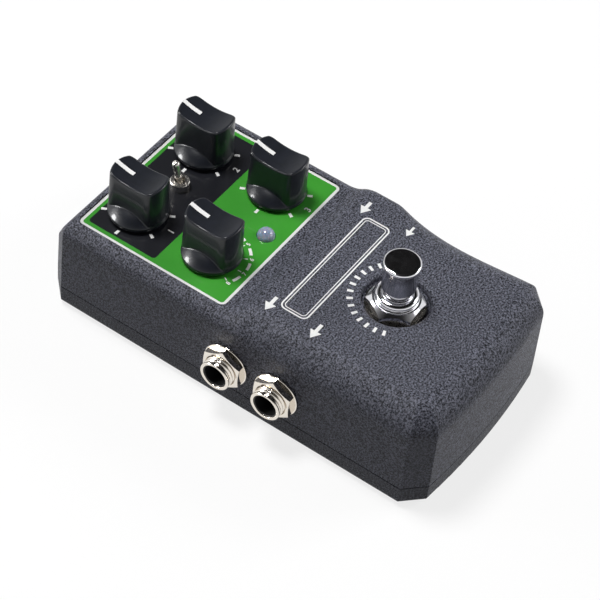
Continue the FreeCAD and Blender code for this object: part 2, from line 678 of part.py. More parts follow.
def make_shell_blank():
    """The solid outer form: drafted walls, two decks and the S-curved ramp between them."""
    body = new_body("shell_blank")
    outline = make_sketch(body, "shell_plan", "XY_Plane", shell_bottom)
    draw_outline(outline, *case_outline())
    pad(body, outline, front_deck - shell_bottom, taper=-wall_draft)

    ramp = make_sketch(body, "shell_ramp", "YZ_Plane")
    half_run = ramp_length / 2
    half_rise = front_deck_rise / 2
    bend = (half_run * half_run + half_rise * half_rise) / (half_rise * 2)
    beyond = rear + cut_past
    above = front_deck + cut_past
    draw_outline(ramp, [
        (ramp_front, front_deck), (ramp_front + half_run, front_deck - half_rise),
        (ramp_rear, rear_deck), (beyond, rear_deck), (beyond, above), (ramp_front, above),
    ], {0: -bend, 1: bend})
    pocket(body, ramp, case_width + cut_past, both=True)
    return body


def round_blank(blank):
    """Top edges whose rounding grows along the ramp from the rear deck's to the front deck's."""
    doc.recompute()
    start, end = number(ramp_rear), number(ramp_front)
    small, large = number(rear_edge_round), number(front_edge_round)

    def radius_at(y):
        share = min(max((start - y) / (start - end), 0), 1)
        return small + (large - small) * share

    rounded = doc.addObject("Part::Fillet", "shell_rounded")
    rounded.Base = blank
    edges = []
    for i, edge in enumerate(blank.Shape.Edges):
        low, high = lifts(blank.Shape, edge)
        if low < WALL_LIFT < high and edge.BoundBox.ZMin > number(shell_bottom) + 0.01:
            ends = [edge.valueAt(at).y for at in (edge.FirstParameter, edge.LastParameter)]
            edges.append((i + 1, radius_at(ends[0]), radius_at(ends[1])))
    rounded.Edges = edges
    doc.recompute()
    return rounded


def slope_rear(body):
    """The slope behind the plate, rounded where it meets the deck, the rear wall and the cut corners."""
    slope = make_sketch(body, "shell_slope", "YZ_Plane")
    run = slope_flat / root(slope_fall * slope_fall + 1)
    beyond = rear + cut_past
    above = front_deck + cut_past
    draw_outline(slope, [
        (slope_y - slope_flat, rear_deck), (slope_y + run, rear_deck - run * slope_fall),
        (beyond, rear_deck - (beyond - slope_y) * slope_fall), (beyond, above), (slope_y - slope_flat, above),
    ], {0: -slope_round})
    pocket(body, slope, case_width + cut_past, both=True)
    slope_lift = math.cos(math.radians(number(slope_angle)))

    def round_slope(edge):
        low, high = lifts(body.Tip.Shape, edge)
        return low < WALL_LIFT and abs(high - slope_lift) < 0.01

    round_edges(body, "shell_slope_edges", slope_edge_round, round_slope)


def make_top_shell():
    body = new_body("top_shell")
    body.BaseFeature = round_blank(make_shell_blank())
    slope_rear(body)

    room = make_sketch(body, "shell_room", "XY_Plane", shell_bottom)
    draw_outline(room, *case_outline(case_wall))
    pocket(body, room, room_step - shell_bottom, forward=True)
    corners, arcs = case_outline(case_wall)
    back = slope_y + (rear_deck - rear_ceiling) / slope_fall - slope_wall
    side = hw - case_wall
    upper_room = make_sketch(body, "shell_upper_room", "XY_Plane", room_step)
    draw_outline(upper_room, [(side, back), (-side, back)] + corners[4:], {3: arcs[5]})
    pocket(body, upper_room, rear_ceiling - room_step, forward=True)
    sloped_room = make_sketch(body, "shell_sloped_room", "YZ_Plane")
    step_back = slope_y + (rear_deck - room_step) / slope_fall - slope_wall
    draw_outline(sloped_room, [
        (back - cut_past, room_step - cut_past), (step_back, room_step - cut_past), (step_back, room_step),
        (back, rear_ceiling), (back - cut_past, rear_ceiling),
    ])
    pocket(body, sloped_room, (side - corner_cut) * 2, both=True)
    front_room = make_sketch(body, "shell_front_room", "XY_Plane", rear_ceiling)
    half = hw - case_wall - front_edge_round / 2
    draw_outline(front_room, *rounded_rectangle(
        -half, half, front_side + case_wall + front_edge_round / 2, ramp_front - case_wall, panel_corner))
    pocket(body, front_room, front_ceiling - rear_ceiling, forward=True)

    for end, pair, top in (("rear", BOSSES[:2], rear_boss_top), ("front", BOSSES[2:], rear_ceiling + boss_bite)):
        bosses = make_sketch(body, f"shell_{end}_bosses", "XY_Plane", boss_bottom)
        for x, y in pair:
            draw_circle(bosses, x, y, boss_radius)
        pad(body, bosses, top - boss_bottom)
    threads = make_sketch(body, "shell_threads", "XY_Plane", boss_bottom)
    for x, y in BOSSES:
        draw_circle(threads, x, y, screw_radius + thread_clearance)
    pocket(body, threads, screw_length, forward=True)

    recess = make_sketch(body, "shell_recess", "XY_Plane", panel_floor)
    draw_outline(recess, *rounded_rectangle(
        -panel_side - panel_clearance, panel_side + panel_clearance,
        panel_front - panel_clearance, panel_rear + panel_clearance, panel_corner + panel_clearance))
    pocket(body, recess, panel_thickness + panel_sink + cut_past, forward=True)
    openings = make_sketch(body, "shell_openings", "XY_Plane", panel_floor)
    panel_holes(openings, pot_bush_radius + pot_hole_clearance, toggle_bush_radius + pot_hole_clearance,
                lamp_radius + lamp_clearance)
    pocket(body, openings, deck_wall + cut_past)

    dish = make_sketch(body, "shell_dish", "XY_Plane", dish_floor)
    draw_circle(dish, 0, switch_y, dish_radius)
    pocket(body, dish, dish_depth + cut_past, forward=True)
    switch_hole = make_sketch(body, "shell_switch_hole", "XY_Plane", dish_floor)
    draw_circle(switch_hole, 0, switch_y, switch_bush_radius + switch_hole_clearance)
    pocket(body, switch_hole, deck_wall + cut_past)

    for side, pair in (("left", -1), ("right", 1)):
        holes = make_sketch(body, f"shell_{side}_jack_holes", "YZ_Plane", (hw + cut_past) * pair)
        for place_name in (side + "_rear", side + "_front"):
            draw_circle(holes, JACKS[place_name][1], jack_height, jack_bush_radius + jack_hole_clearance)
        pocket(body, holes, case_wall + cut_past * 2, forward=pair < 0)
    inlet_hole = make_sketch(body, "shell_inlet_hole", "XZ_Plane", case_wall + cut_past - rear)
    draw_circle(inlet_hole, 0, inlet_height, inlet_nose_radius + inlet_hole_clearance)
    pocket(body, inlet_hole, case_wall + cut_past * 2)

    def on_lip(edge):
        round_lip = abs(edge.BoundBox.XLength - 2 * number(dish_radius)) < 0.01
        return round_lip and edge.BoundBox.ZMin > number(front_deck) - 0.01

    round_edges(body, "shell_dish_lip", dish_lip, on_lip)
    return body


# Base tray and its screws and feet

def make_base_tray():
    body = new_body("base_tray")
    outline = make_sketch(body, "tray_plan", "XY_Plane", tray_bottom)
    draw_outline(outline, *case_outline())
    pad(body, outline, tray_height)

    def under(edge):
        return edge.BoundBox.ZMax < number(tray_bottom) + 0.01

    round_edges(body, "tray_edges", tray_round, under)
    rim = make_sketch(body, "tray_rim", "XY_Plane", tray_top)
    draw_outline(rim, *case_outline(case_wall + rim_clearance))
    pad(body, rim, rim_height)
    room = make_sketch(body, "tray_room", "XY_Plane", tray_bottom + tray_floor)
    draw_outline(room, *case_outline(case_wall + rim_clearance + rim_wall))
    pocket(body, room, tray_height + rim_height, forward=True)

    pillars = make_sketch(body, "tray_pillars", "XY_Plane", tray_bottom + tray_floor / 2)
    for x, y in BOSSES:
        draw_circle(pillars, x, y, boss_radius)
    pad(body, pillars, boss_bottom - boss_gap - tray_bottom - tray_floor / 2)
    trim = make_sketch(body, "tray_rim_trim", "XY_Plane", tray_top)
    draw_outline(trim, *case_outline(-cut_past))
    draw_outline(trim, *case_outline(case_wall + rim_clearance))
    pocket(body, trim, rim_height + cut_past, forward=True)
    board_pillars = make_sketch(body, "tray_board_pillars", "XY_Plane", tray_bottom + tray_floor / 2)
    for x, y in BOARD_SCREWS:
        draw_circle(board_pillars, x, y, board_pillar_radius)
    pad(body, board_pillars, board_lift + tray_floor / 2)
    board_threads = make_sketch(body, "tray_board_threads", "XY_Plane", board_bottom)
    for x, y in BOARD_SCREWS:
        draw_circle(board_threads, x, y, board_screw_radius + thread_clearance)
    pocket(body, board_threads, board_screw_length)

    screw_holes = make_sketch(body, "tray_screw_holes", "XY_Plane", tray_bottom)
    for x, y in BOSSES:
        draw_circle(screw_holes, x, y, screw_radius + hole_clearance)
    pocket(body, screw_holes, tray_height + rim_height + cut_past, forward=True)
    doc.recompute()
    mouths = [f"Edge{i + 1}" for i, edge in enumerate(body.Tip.Shape.Edges)
              if under(edge) and abs(edge.BoundBox.XLength - 2 * number(screw_radius + hole_clearance)) < 0.01]
    tip = body.Tip
    sinks = body.newObject("PartDesign::Chamfer", "tray_countersinks")
    sinks.Base = (tip, mouths)
    bind(sinks, "Size", screw_head_radius - screw_radius)
    return body


def make_base_screws():
    """Countersunk screws up through the tray's pillars into the shell's bosses."""
    taper = screw_head_radius - screw_radius
    screws = []
    for i, (x, y) in enumerate(BOSSES):
        screws.append(turned(f"base_screw_{i + 1}", [
            (0, seat_gap), (screw_head_radius, seat_gap), (screw_radius, taper + seat_gap),
            (screw_radius, screw_length), (0, screw_length),
        ], x=x, y=y, z=tray_bottom))
    return group("base_screws", screws)


def make_rubber_feet():
    feet = []
    for i, (x, y) in enumerate([(foot_x, foot_y), (-foot_x, foot_y), (-foot_x, -foot_y), (foot_x, -foot_y)]):
        pad_body = new_body(f"rubber_foot_{i + 1}")
        sketch = make_sketch(pad_body, f"rubber_foot_{i + 1}_plan", "XY_Plane")
        half = foot_side / 2
        draw_outline(sketch, *rounded_rectangle(-half, half, -half, half, foot_corner))
        pad(pad_body, sketch, foot_height)
        feet.append(put(pad_body, x, y, 0))
    return group("rubber_feet", feet)


# Control plate

def make_control_panel():
    body = new_body("control_panel")
    plan = make_sketch(body, "panel_plan", "XY_Plane", panel_floor)
    draw_outline(plan, *rounded_rectangle(-panel_side, panel_side, panel_front, panel_rear, panel_corner))
    pad(body, plan, panel_thickness)
    holes = make_sketch(body, "panel_holes", "XY_Plane", panel_floor)
    panel_holes(holes, pot_bush_radius + pot_hole_clearance, toggle_bush_radius + pot_hole_clearance,
                lamp_radius + lamp_clearance)
    pocket(body, holes, panel_thickness * 2, forward=True)
    return body


# Knobs

def make_knob(place_name, x, y):
    """A domed skirt under a tapered grip bar with a finger hollow and a pointer groove."""
    label = "knob_" + place_name
    body = new_body(label)
    skirt = make_sketch(body, label + "_skirt", "XZ_Plane")
    crown_z = skirt_height - skirt_crown
    inside = skirt_crown - skirt_shoulder
    shoulder_x = knob_radius - skirt_shoulder
    shoulder_rise = root(inside * inside - shoulder_x * shoulder_x)
    meet_x = shoulder_x * skirt_crown / inside
    meet_z = crown_z + shoulder_rise * skirt_crown / inside
    draw_outline(skirt, [
        (0, 0), (knob_radius, 0), (knob_radius, crown_z + shoulder_rise), (meet_x, meet_z), (0, skirt_height),
    ], {2: skirt_shoulder, 3: skirt_crown})
    turn = body.newObject("PartDesign::Revolution", label + "_turn")
    turn.Profile = skirt
    turn.ReferenceAxis = (skirt, ["V_Axis"])
    turn.Angle = 360

    grip = make_sketch(body, label + "_grip", "XY_Plane", grip_foot)
    half = grip_width / 2
    end = root(grip_radius * grip_radius - half * half)
    draw_outline(grip, [(half, -end), (half, end), (-half, end), (-half, -end)],
                 {1: grip_radius, 3: grip_radius})
    pad(body, grip, knob_height - grip_foot, taper=-grip_draft)

    reach = grip_radius - (knob_height - grip_foot) * tangent(grip_draft)
    scoop = (reach * reach + grip_hollow * grip_hollow) / (grip_hollow * 2)
    centre = knob_height - grip_hollow + scoop
    hollow = make_sketch(body, label + "_hollow", "YZ_Plane")
    draw_circle(hollow, 0, centre, scoop)
    pocket(body, hollow, grip_width * 2, both=True)

    def on_grip(edge):
        box = edge.BoundBox
        return box.ZMax > number(knob_height - grip_hollow) - 0.3

    round_edges(body, label + "_edges", grip_round, on_grip)
    groove = make_sketch(body, label + "_pointer", "YZ_Plane")
    deep = scoop + pointer_depth
    inner_z = centre - root(deep * deep - pointer_start * pointer_start)
    wall = reach - pointer_depth
    outer_z = centre - root(deep * deep - wall * wall)
    draw_outline(groove, [
        (pointer_start, inner_z), (wall, outer_z), (wall, knob_height - pointer_drop),
        (grip_radius + cut_past, knob_height - pointer_drop),
        (grip_radius + cut_past, knob_height + cut_past), (pointer_start, knob_height + cut_past),
    ], {0: deep})
    pocket(body, groove, pointer_width, both=True)

    under = make_sketch(body, label + "_underside", "XY_Plane")
    draw_circle(under, 0, 0, knob_pocket_radius)
    pocket(body, under, knob_pocket_depth, forward=True)
    bore = make_sketch(body, label + "_bore", "XY_Plane")
    draw_circle(bore, 0, 0, shaft_radius + knob_fit)
    pocket(body, bore, knob_bore_depth, forward=True)
    return put(body, x, y, panel_top + knob_lift)


# Potentiometers

def make_pot(place_name, x, y):
    """Shaft and body of one potentiometer, on the axis of its knob."""
    wiper_z = pot_height / 2 - wiper_height / 2
    bush_top = panel_top + pot_bush_rise - pot_bottom
    shaft_top = panel_top + shaft_reach - pot_bottom
    shaft = turned("pot_shaft_" + place_name, [
        (0, wiper_z), (wiper_radius, wiper_z), (wiper_radius, wiper_z + wiper_height),
        (shaft_radius, wiper_z + wiper_height), (shaft_radius, shaft_top - nut_bevel),
        (shaft_radius - nut_bevel, shaft_top), (0, shaft_top),
    ], x=x, y=y, z=pot_bottom)
    label = "pot_body_" + place_name
    case = block(label + "_case", pot_side, pot_side, pot_height)
    bush = cylinder(label + "_bush", pot_bush_radius, bush_top)
    chamber = cylinder(label + "_chamber", wiper_radius + wiper_clearance, wiper_height + wiper_clearance * 2,
                       z=wiper_z - wiper_clearance)
    bore = cylinder(label + "_bore", shaft_radius + shaft_fit, bush_top, z=wiper_z)
    body = carve(label, join(label + "_blank", case, bush), chamber, bore)
    return shaft, put(body, x, y, pot_bottom)


def make_pot_nuts():
    nuts = [hex_nut("pot_nut_" + place_name, pot_nut_flats, pot_bush_radius + seat_gap, pot_nut_height,
                    x, y, panel_top) for place_name, (x, y) in KNOBS.items()]
    return group("pot_nuts", nuts)


# Toggle switch

def make_toggle():
    """A miniature two-way toggle: its lever swings front to rear on a ball in the bush."""
    top = rear_ceiling - seat_gap
    bottom = top - toggle_height
    case = block("toggle_case", toggle_width, toggle_depth, toggle_height, z=bottom)
    bush = cylinder("toggle_bush", toggle_bush_radius, panel_top + toggle_bush_rise - bottom, z=bottom)
    pivot = panel_top + pivot_rise
    ball_radius = toggle_bore - lever_ball_fit
    seat = pivot - ball_radius - lever_ball_fit
    bore = cylinder("toggle_bore_cut", toggle_bore, toggle_height * 2, z=seat)
    body = carve("toggle_body", join("toggle_blank", case, bush), bore)
    put(body, 0, toggle_y, 0)
    bevel = nut_bevel / 2
    nut = turned("toggle_nut", [
        (toggle_bush_radius + seat_gap, 0), (toggle_nut_radius, 0), (toggle_nut_radius, toggle_nut_height - bevel),
        (toggle_nut_radius - bevel, toggle_nut_height), (toggle_bush_radius + seat_gap, toggle_nut_height),
    ], y=toggle_y, z=panel_top)
    straight = lever_reach - lever_end
    lever = join("toggle_lever", ball("lever_ball", ball_radius, 0, 0, 0),
                 cone("lever_rod", lever_neck, lever_end, straight),
                 ball("lever_tip", lever_end, 0, 0, straight))
    put(lever, 0, toggle_y, pivot)
    lever.Placement.Rotation = FreeCAD.Rotation(FreeCAD.Vector(-1, 0, 0), number(lever_lean))
    lever.setExpression("Placement.Rotation.Angle", lever_lean.text)
    return body, nut, lever


# Status lamp

def make_lamp():
    """A 5 mm lamp through the plate, held off the control board by a sleeve round its leads."""
    top = panel_top + lamp_rise
    foot = top - lamp_length
    shoulder = lamp_length - lamp_radius
    lamp = turned("led_lamp", [
        (0, 0), (lamp_flange_radius, 0), (lamp_flange_radius, lamp_flange_height),
        (lamp_radius, lamp_flange_height), (lamp_radius, shoulder), (0, lamp_length),
    ], {4: lamp_radius}, y=lamp_y, z=foot)
    drop = foot - control_board_top
    sleeve = cylinder("led_sleeve", lamp_flange_radius, drop)
    channels = [block(f"led_channel_{i}", lead_channel, lead_channel, drop * 2, x=side * lead_spacing / 2,
                      z=-drop / 2) for i, side in enumerate((-1, 1))]
    spacer = put(carve("led_spacer", sleeve, *channels), 0, lamp_y, control_board_top)
    leads = [block(f"led_lead_{i}", lead_side, lead_side, drop + board_thickness, x=side * lead_spacing / 2)
             for i, side in enumerate((-1, 1))]
    return lamp, spacer, put(group("led_leads", leads), 0, lamp_y, control_board_bottom)


# Footswitch

def make_footswitch():
    top = front_ceiling - seat_gap
    bottom = top - switch_height
    case = block("footswitch_case", switch_side, switch_side, switch_height, z=bottom)
    chamber_floor = top - switch_chamber_top - switch_chamber_height
    chamber = cylinder("footswitch_chamber", switch_chamber_radius, switch_chamber_height, z=chamber_floor)
    neck_bore = cylinder("footswitch_neck_bore", plunger_radius + plunger_fit, switch_height, z=chamber_floor)
    body = put(carve("footswitch_body", case, chamber, neck_bore), 0, switch_y, 0)

    bush_top = dish_floor + switch_bush_rise
    bush = turned("footswitch_bush", [
        (plunger_radius + plunger_fit, top), (switch_bush_radius, top),
        (switch_bush_radius, bush_top - nut_bevel), (switch_bush_radius - nut_bevel, bush_top),
        (plunger_radius + plunger_fit, bush_top),
    ], y=switch_y)
    bore = switch_bush_radius + seat_gap
    washer = ring("footswitch_washer", switch_washer_radius, bore, switch_washer_height, y=switch_y, z=dish_floor)
    nut = hex_nut("footswitch_nut", switch_nut_flats, bore, switch_nut_height, 0, switch_y,
                  dish_floor + switch_washer_height)

    flange_top = top - switch_chamber_top - plunger_play
    flange_foot = flange_top - plunger_flange_height
    stem = bush_top + button_gap
    head = front_deck + button_height
    button = turned("footswitch_button", [
        (0, flange_foot), (plunger_flange_radius, flange_foot), (plunger_flange_radius, flange_top),
        (plunger_radius, flange_top), (plunger_radius, stem), (button_radius, stem),
        (button_radius, head - button_rim_height), (button_rim_radius, head - button_rim_height + button_bevel),
        (button_rim_radius, head - button_bevel), (button_rim_radius - button_bevel, head), (0, head),
    ], y=switch_y)
    spring = ring("footswitch_spring", spring_radius, spring_radius - spring_wire,
                  flange_foot - chamber_floor, y=switch_y, z=chamber_floor)

    pins = []
    for i in range(6):
        across = (i % 2 * 2 - 1) * pin_pitch / 2
        along = (i // 2 - 1) * pin_pitch
        pins.append(block(f"footswitch_pin_{i + 1}", pin_side, pin_side, bottom - board_top, x=across, y=along))
    pins = put(group("footswitch_pins", pins), 0, switch_y, board_top)
    return body, bush, washer, nut, button, spring, pins


# Jacks

def make_jack(place_name, facing, y):
    """Bush, body and tip contact of one jack, modelled with its mouth to the right."""
    mouth = hw + jack_reach
    guide = hw + jack_guide_start
    bush = turned("jack_bush_" + place_name, [
        (jack_relief, jack_body_end), (jack_bush_radius, jack_body_end),
        (jack_bush_radius, mouth - jack_mouth_bevel), (jack_bush_radius - jack_mouth_bevel, mouth),
        (jack_bore + jack_mouth_bevel, mouth), (jack_bore, mouth - jack_mouth_bevel),
        (jack_bore, guide), (jack_relief, guide),
    ], y=y, z=jack_height, facing="-X" if facing == "about" else "X")

    label = "jack_body_" + place_name
    length = jack_body_end - jack_middle_gap
    centre = (jack_body_end + jack_middle_gap) / 2
    case = block(label + "_case", length, jack_body_width, jack_body_height, x=centre,
                 z=-jack_body_height / 2)
    bore = cylinder(label + "_bore", jack_relief, length + cut_past * 2, x=jack_middle_gap - cut_past,
                    facing="X")
    tip = jack_middle_gap + contact_tip
    hinge = tip + contact_span
    slot_width = contact_width + contact_slot_clearance * 2
    slot = block(label + "_slot", contact_span + jack_bore, slot_width, jack_body_height,
                 x=(tip + hinge) / 2 - contact_slot_clearance)
    body = put(carve(label, case, bore, slot), 0, y, jack_height, facing)

    contact = new_body("jack_contact_" + place_name)
    strip = make_sketch(contact, f"jack_contact_{place_name}_side", "XZ_Plane")
    low = jack_bore + contact_clearance
    high = jack_body_height / 2
    tail = tip - contact_tail
    draw_outline(strip, [
        (tip, low), (tip + contact_sheet, low), (hinge, high), (jack_body_end, high),
        (jack_body_end, high + contact_sheet), (hinge, high + contact_sheet),
        (tip + contact_sheet / 2, low + contact_sheet), (tail, low + contact_sheet * 4),
        (tail, low + contact_sheet * 3),
    ])
    pad(contact, strip, contact_width, both=True)
    return bush, body, put(contact, 0, y, jack_height, facing)


def make_jack_fastenings():
    """Washers on the side walls and nuts on the washers."""
    washers, nuts = [], []
    bore = jack_bush_radius + seat_gap
    for place_name, (facing, y) in JACKS.items():
        outward = "-X" if facing == "about" else "X"
        side = -1 if facing == "about" else 1
        washers.append(ring("jack_washer_" + place_name, jack_washer_radius, bore, jack_washer_height,
                            x=(hw + seat_gap) * side, y=y, z=jack_height, facing=outward))
        nuts.append(hex_nut("jack_nut_" + place_name, jack_nut_flats, bore, jack_nut_height,
                            (hw + seat_gap + jack_washer_height) * side, y, jack_height, outward))
    return group("jack_washers", washers), group("jack_nuts", nuts)


# Power inlet

def make_inlet():
    mouth = rear - inlet_recess
    nose_start = rear - case_wall - inlet_case_gap
    case = block("inlet_case", inlet_width, inlet_depth, inlet_body_height,
                 y=nose_start - inlet_depth / 2, z=board_top + seat_gap)
    nose = cylinder("inlet_nose", inlet_nose_radius, mouth - nose_start, y=nose_start, z=inlet_height, facing="Y")
    bore = cylinder("inlet_bore_cut", inlet_bore, inlet_bore_depth * 2, y=mouth - inlet_bore_depth,
                    z=inlet_height, facing="Y")
    body = carve("dc_inlet_body", join("inlet_blank", case, nose), bore)
    pin = cylinder("dc_inlet_pin", inlet_pin_radius, inlet_pin_length, y=mouth - inlet_bore_depth,
                   z=inlet_height, facing="Y")
    return body, pin


# Boards and what stands on them

def make_main_board():
    body = new_body("main_board")
    plan = make_sketch(body, "main_board_plan", "XY_Plane", board_bottom)
    draw_outline(plan, [
        (-board_side, board_front), (board_side, board_front),
        (board_side, board_rear), (tongue_half_width, board_rear),
        (tongue_half_width, rear - tongue_inset), (-tongue_half_width, rear - tongue_inset),
        (-tongue_half_width, board_rear), (-board_side, board_rear),
    ])
    pad(body, plan, board_thickness)
    holes = make_sketch(body, "main_board_holes", "XY_Plane", board_bottom)
    for x, y in BOARD_SCREWS:
        draw_circle(holes, x, y, board_hole)
    pocket(body, holes, board_thickness * 2, forward=True)
    return body


def make_control_board():
    body = new_body("control_board")
    plan = make_sketch(body, "control_board_plan", "XY_Plane", control_board_bottom)
    half = panel_side - control_board_margin
    draw_outline(plan, *rounded_rectangle(
        -half, half, panel_front + control_board_margin, panel_rear - control_board_margin, panel_corner))
    pad(body, plan, board_thickness)
    holes = make_sketch(body, "control_board_holes", "XY_Plane", control_board_bottom)
    for side in (-1, 1):
        draw_circle(holes, side * lead_spacing / 2, lamp_y, lead_hole)
    pocket(body, holes, board_thickness * 2, forward=True)
    return body


def make_board_parts():
    screws = []
    for i, (x, y) in enumerate(BOARD_SCREWS):
        drop = board_screw_length - hole_clearance
        head = drop + board_screw_head_height
        screws.append(turned(f"board_screw_{i + 1}", [
            (0, 0), (board_screw_radius, 0), (board_screw_radius, drop), (board_screw_head, drop),
            (board_screw_head, head), (0, head),
        ], x=x, y=y, z=board_top - drop))
    header = block("board_header", header_width, header_depth, control_board_bottom - board_top - seat_gap,
                   y=header_y, z=board_top)
    processor = block("processor_chip", processor_side, processor_side, processor_height,
                      y=header_y - processor_inset, z=board_top)
    converter = block("converter_chip", converter_width, converter_depth, converter_height,
                      x=converter_offset, y=board_front + converter_inset, z=board_top)
    cans = [turned(f"filter_capacitor_{i + 1}", [
        (0, 0), (capacitor_radius, 0), (capacitor_radius, capacitor_height), (0, capacitor_height),
    ], x=capacitor_pitch * i - capacitor_offset, y=board_front + capacitor_inset, z=board_top) for i in range(3)]
    return group("board_screws", screws), header, processor, converter, group("filter_capacitors", cans)


pieces = [make_top_shell(), make_base_tray(), make_base_screws(), make_rubber_feet(), make_control_panel()]
for place_name, (x, y) in KNOBS.items():
    pieces.append(make_knob(place_name, x, y))
    pieces.extend(make_pot(place_name, x, y))
pieces.append(make_pot_nuts())
pieces.extend(make_toggle())
pieces.extend(make_lamp())
pieces.extend(make_footswitch())
for place_name, (facing, y) in JACKS.items():
    pieces.extend(make_jack(place_name, facing, y))
pieces.extend(make_jack_fastenings())
pieces.extend(make_inlet())
pieces.extend([make_main_board(), make_control_board()])
pieces.extend(make_board_parts())
doc.recompute()

failed = [item.Label for item in doc.Objects if "Invalid" in item.State or "Error" in item.State]
failed += [piece.Label for piece in pieces if piece.Shape.isNull() or not piece.Shape.isValid()]
if failed:
    raise RuntimeError("these did not build: " + ", ".join(failed))
for piece in pieces:
    piece.Shape.exportStep(f"parts/{piece.Label}.step")
print(len(pieces), "pieces")
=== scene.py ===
# %% [markdown]
# # A compact echo pedal, dressed for the camera
#
# The pedal is a die-cast case with four glossy knobs, a small toggle, a lamp, a sprung footswitch and
# four jacks. Every solid comes from the CAD model, in metres and in its own place. Here each one gets
# the finish of the real thing, and the pieces whose charm is in the detail, such as the threaded
# bushes, are worked out again as fine surfaces. The CAD model could also be remodelled whole in
# Blender, but then sizes would drift, so it stays the frame that everything is hung on.

import bmesh
import bpy
import numpy as np
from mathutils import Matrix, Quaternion, Vector


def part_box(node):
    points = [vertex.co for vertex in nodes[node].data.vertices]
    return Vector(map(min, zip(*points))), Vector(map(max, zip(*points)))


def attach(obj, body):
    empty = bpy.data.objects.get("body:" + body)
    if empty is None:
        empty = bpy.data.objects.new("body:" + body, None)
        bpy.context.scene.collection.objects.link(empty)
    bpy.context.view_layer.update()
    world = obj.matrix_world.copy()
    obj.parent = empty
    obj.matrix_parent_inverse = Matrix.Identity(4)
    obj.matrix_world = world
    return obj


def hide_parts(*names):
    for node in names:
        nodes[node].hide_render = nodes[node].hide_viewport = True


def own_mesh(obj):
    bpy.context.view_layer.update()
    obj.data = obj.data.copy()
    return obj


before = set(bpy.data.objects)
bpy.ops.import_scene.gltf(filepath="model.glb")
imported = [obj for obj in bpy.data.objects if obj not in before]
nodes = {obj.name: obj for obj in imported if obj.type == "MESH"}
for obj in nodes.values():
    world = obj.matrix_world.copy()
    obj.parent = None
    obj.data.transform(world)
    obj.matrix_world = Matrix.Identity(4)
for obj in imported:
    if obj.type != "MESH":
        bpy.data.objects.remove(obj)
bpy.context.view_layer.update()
mm = 0.001

# %% [markdown]
# ## The camera
#
# The photograph was taken from the pedal's left front, rather high up and with a long lens, and the
# camera was rolled a little. Azimuth, elevation and roll were fitted to points on the control plate,
# the dials, the case's foot and seam, the jacks and the button. A camera could be aimed with a
# constraint, but a quaternion from the viewing direction keeps it plain, and the roll is one more turn
# about the camera's own axis.

# %% Aim the camera
azimuth, elevation, roll = np.radians([-60.575, 48.505, 7.044])
lens_mm, sensor_mm = 133.64, 36.0
aim = Vector((0, -0.61 * mm, 13.66 * mm))
distance = 595.53 * mm
level = np.cos(elevation)
back = Vector((np.sin(azimuth) * level, -np.cos(azimuth) * level, np.sin(elevation)))
camera_data = bpy.data.cameras.new("camera")
camera_data.lens = lens_mm
camera_data.sensor_width = sensor_mm
camera_data.clip_start = 0.01
camera = bpy.data.objects.new("camera", camera_data)
camera.location = aim + back * distance
camera.rotation_mode = "QUATERNION"
camera.rotation_quaternion = (-back).to_track_quat("-Z", "Y") @ Quaternion((0, 0, 1), roll)
bpy.context.scene.collection.objects.link(camera)
bpy.context.scene.camera = camera
print("camera at", [round(v / mm) for v in camera.location], "mm")

# %% [markdown]
# ## Colours and nodes
#
# A picked colour is written as a hex code, which is sRGB, while the shader wants linear light, so one
# function turns the one into the other. A second one adds a node, its settings and its links in one
# line, so that each finish below reads like a recipe.

# %% Two helpers for materials
def srgb(code):
    """A hex colour as linear red, green, blue and alpha."""
    channels = np.array([int(code[i:i + 2], 16) for i in (1, 3, 5)]) / 255
    linear = np.where(channels <= 0.04045, channels / 12.92, ((channels + 0.055) / 1.055) ** 2.4)
    return (*linear.tolist(), 1.0)


def add(tree, kind, inputs=None, **settings):
    """A shader node with its settings. An input is a value, or an output socket to link from."""
    node = tree.nodes.new("ShaderNode" + kind)
    for name, value in settings.items():
        setattr(node, name, value)
    for name, value in (inputs or {}).items():
        if isinstance(value, bpy.types.NodeSocket):
            tree.links.new(value, node.inputs[name])
        else:
            node.inputs[name].default_value = value
    return node


def start(name, colour, **sockets):
    """A new material with its Principled shader, whose plain values are set on its own sockets."""
    material = bpy.data.materials.new(name)
    material.use_nodes = True
    tree = material.node_tree
    shader = tree.nodes["Principled BSDF"]
    shader.inputs["Base Color"].default_value = srgb(colour)
    for socket, value in sockets.items():
        shader.inputs[socket.replace("_", " ")].default_value = value
    coordinates = add(tree, "TexCoord").outputs["Object"]
    return material, tree, shader, coordinates


def dress(material, *names):
    """Give CAD nodes a material."""
    for name in names:
        nodes[name].material_slots[0].material = material
    print(material.name, "on", ", ".join(names))


print("a grey of #808080 is", round(srgb("#808080")[0], 3), "of white light")


# %% [markdown]
# ## Skins of points
#
# Everything new in this scene, the floor too, is a grid of points with a skin of faces over it. One
# function lays the skin, and one makes a mesh of several skins. Points that fall together, at a pole or
# where a row closes, are merged, so that light sees no slit.

# %% Skins
def sheet_grid(x, y, z):
    """A flat grid of points over the sorted values x and y, at height z."""
    across, along = np.meshgrid(x, y)
    return np.stack([across, along, np.full_like(across, z)], axis=-1)


def mesh_of(name, shells):
    """One mesh from shells, each a pair of points and faces, with double points merged."""
    points, faces, start_at = [], [], 0
    for shell_points, shell_faces in shells:
        points.append(shell_points)
        faces += [[i + start_at for i in face] for face in shell_faces]
        start_at += len(shell_points)
    mesh = bpy.data.meshes.new(name)
    mesh.from_pydata(np.concatenate(points).tolist(), [], faces)
    work = bmesh.new()
    work.from_mesh(mesh)
    bmesh.ops.remove_doubles(work, verts=work.verts, dist=1e-7)
    work.to_mesh(mesh)
    work.free()
    return mesh


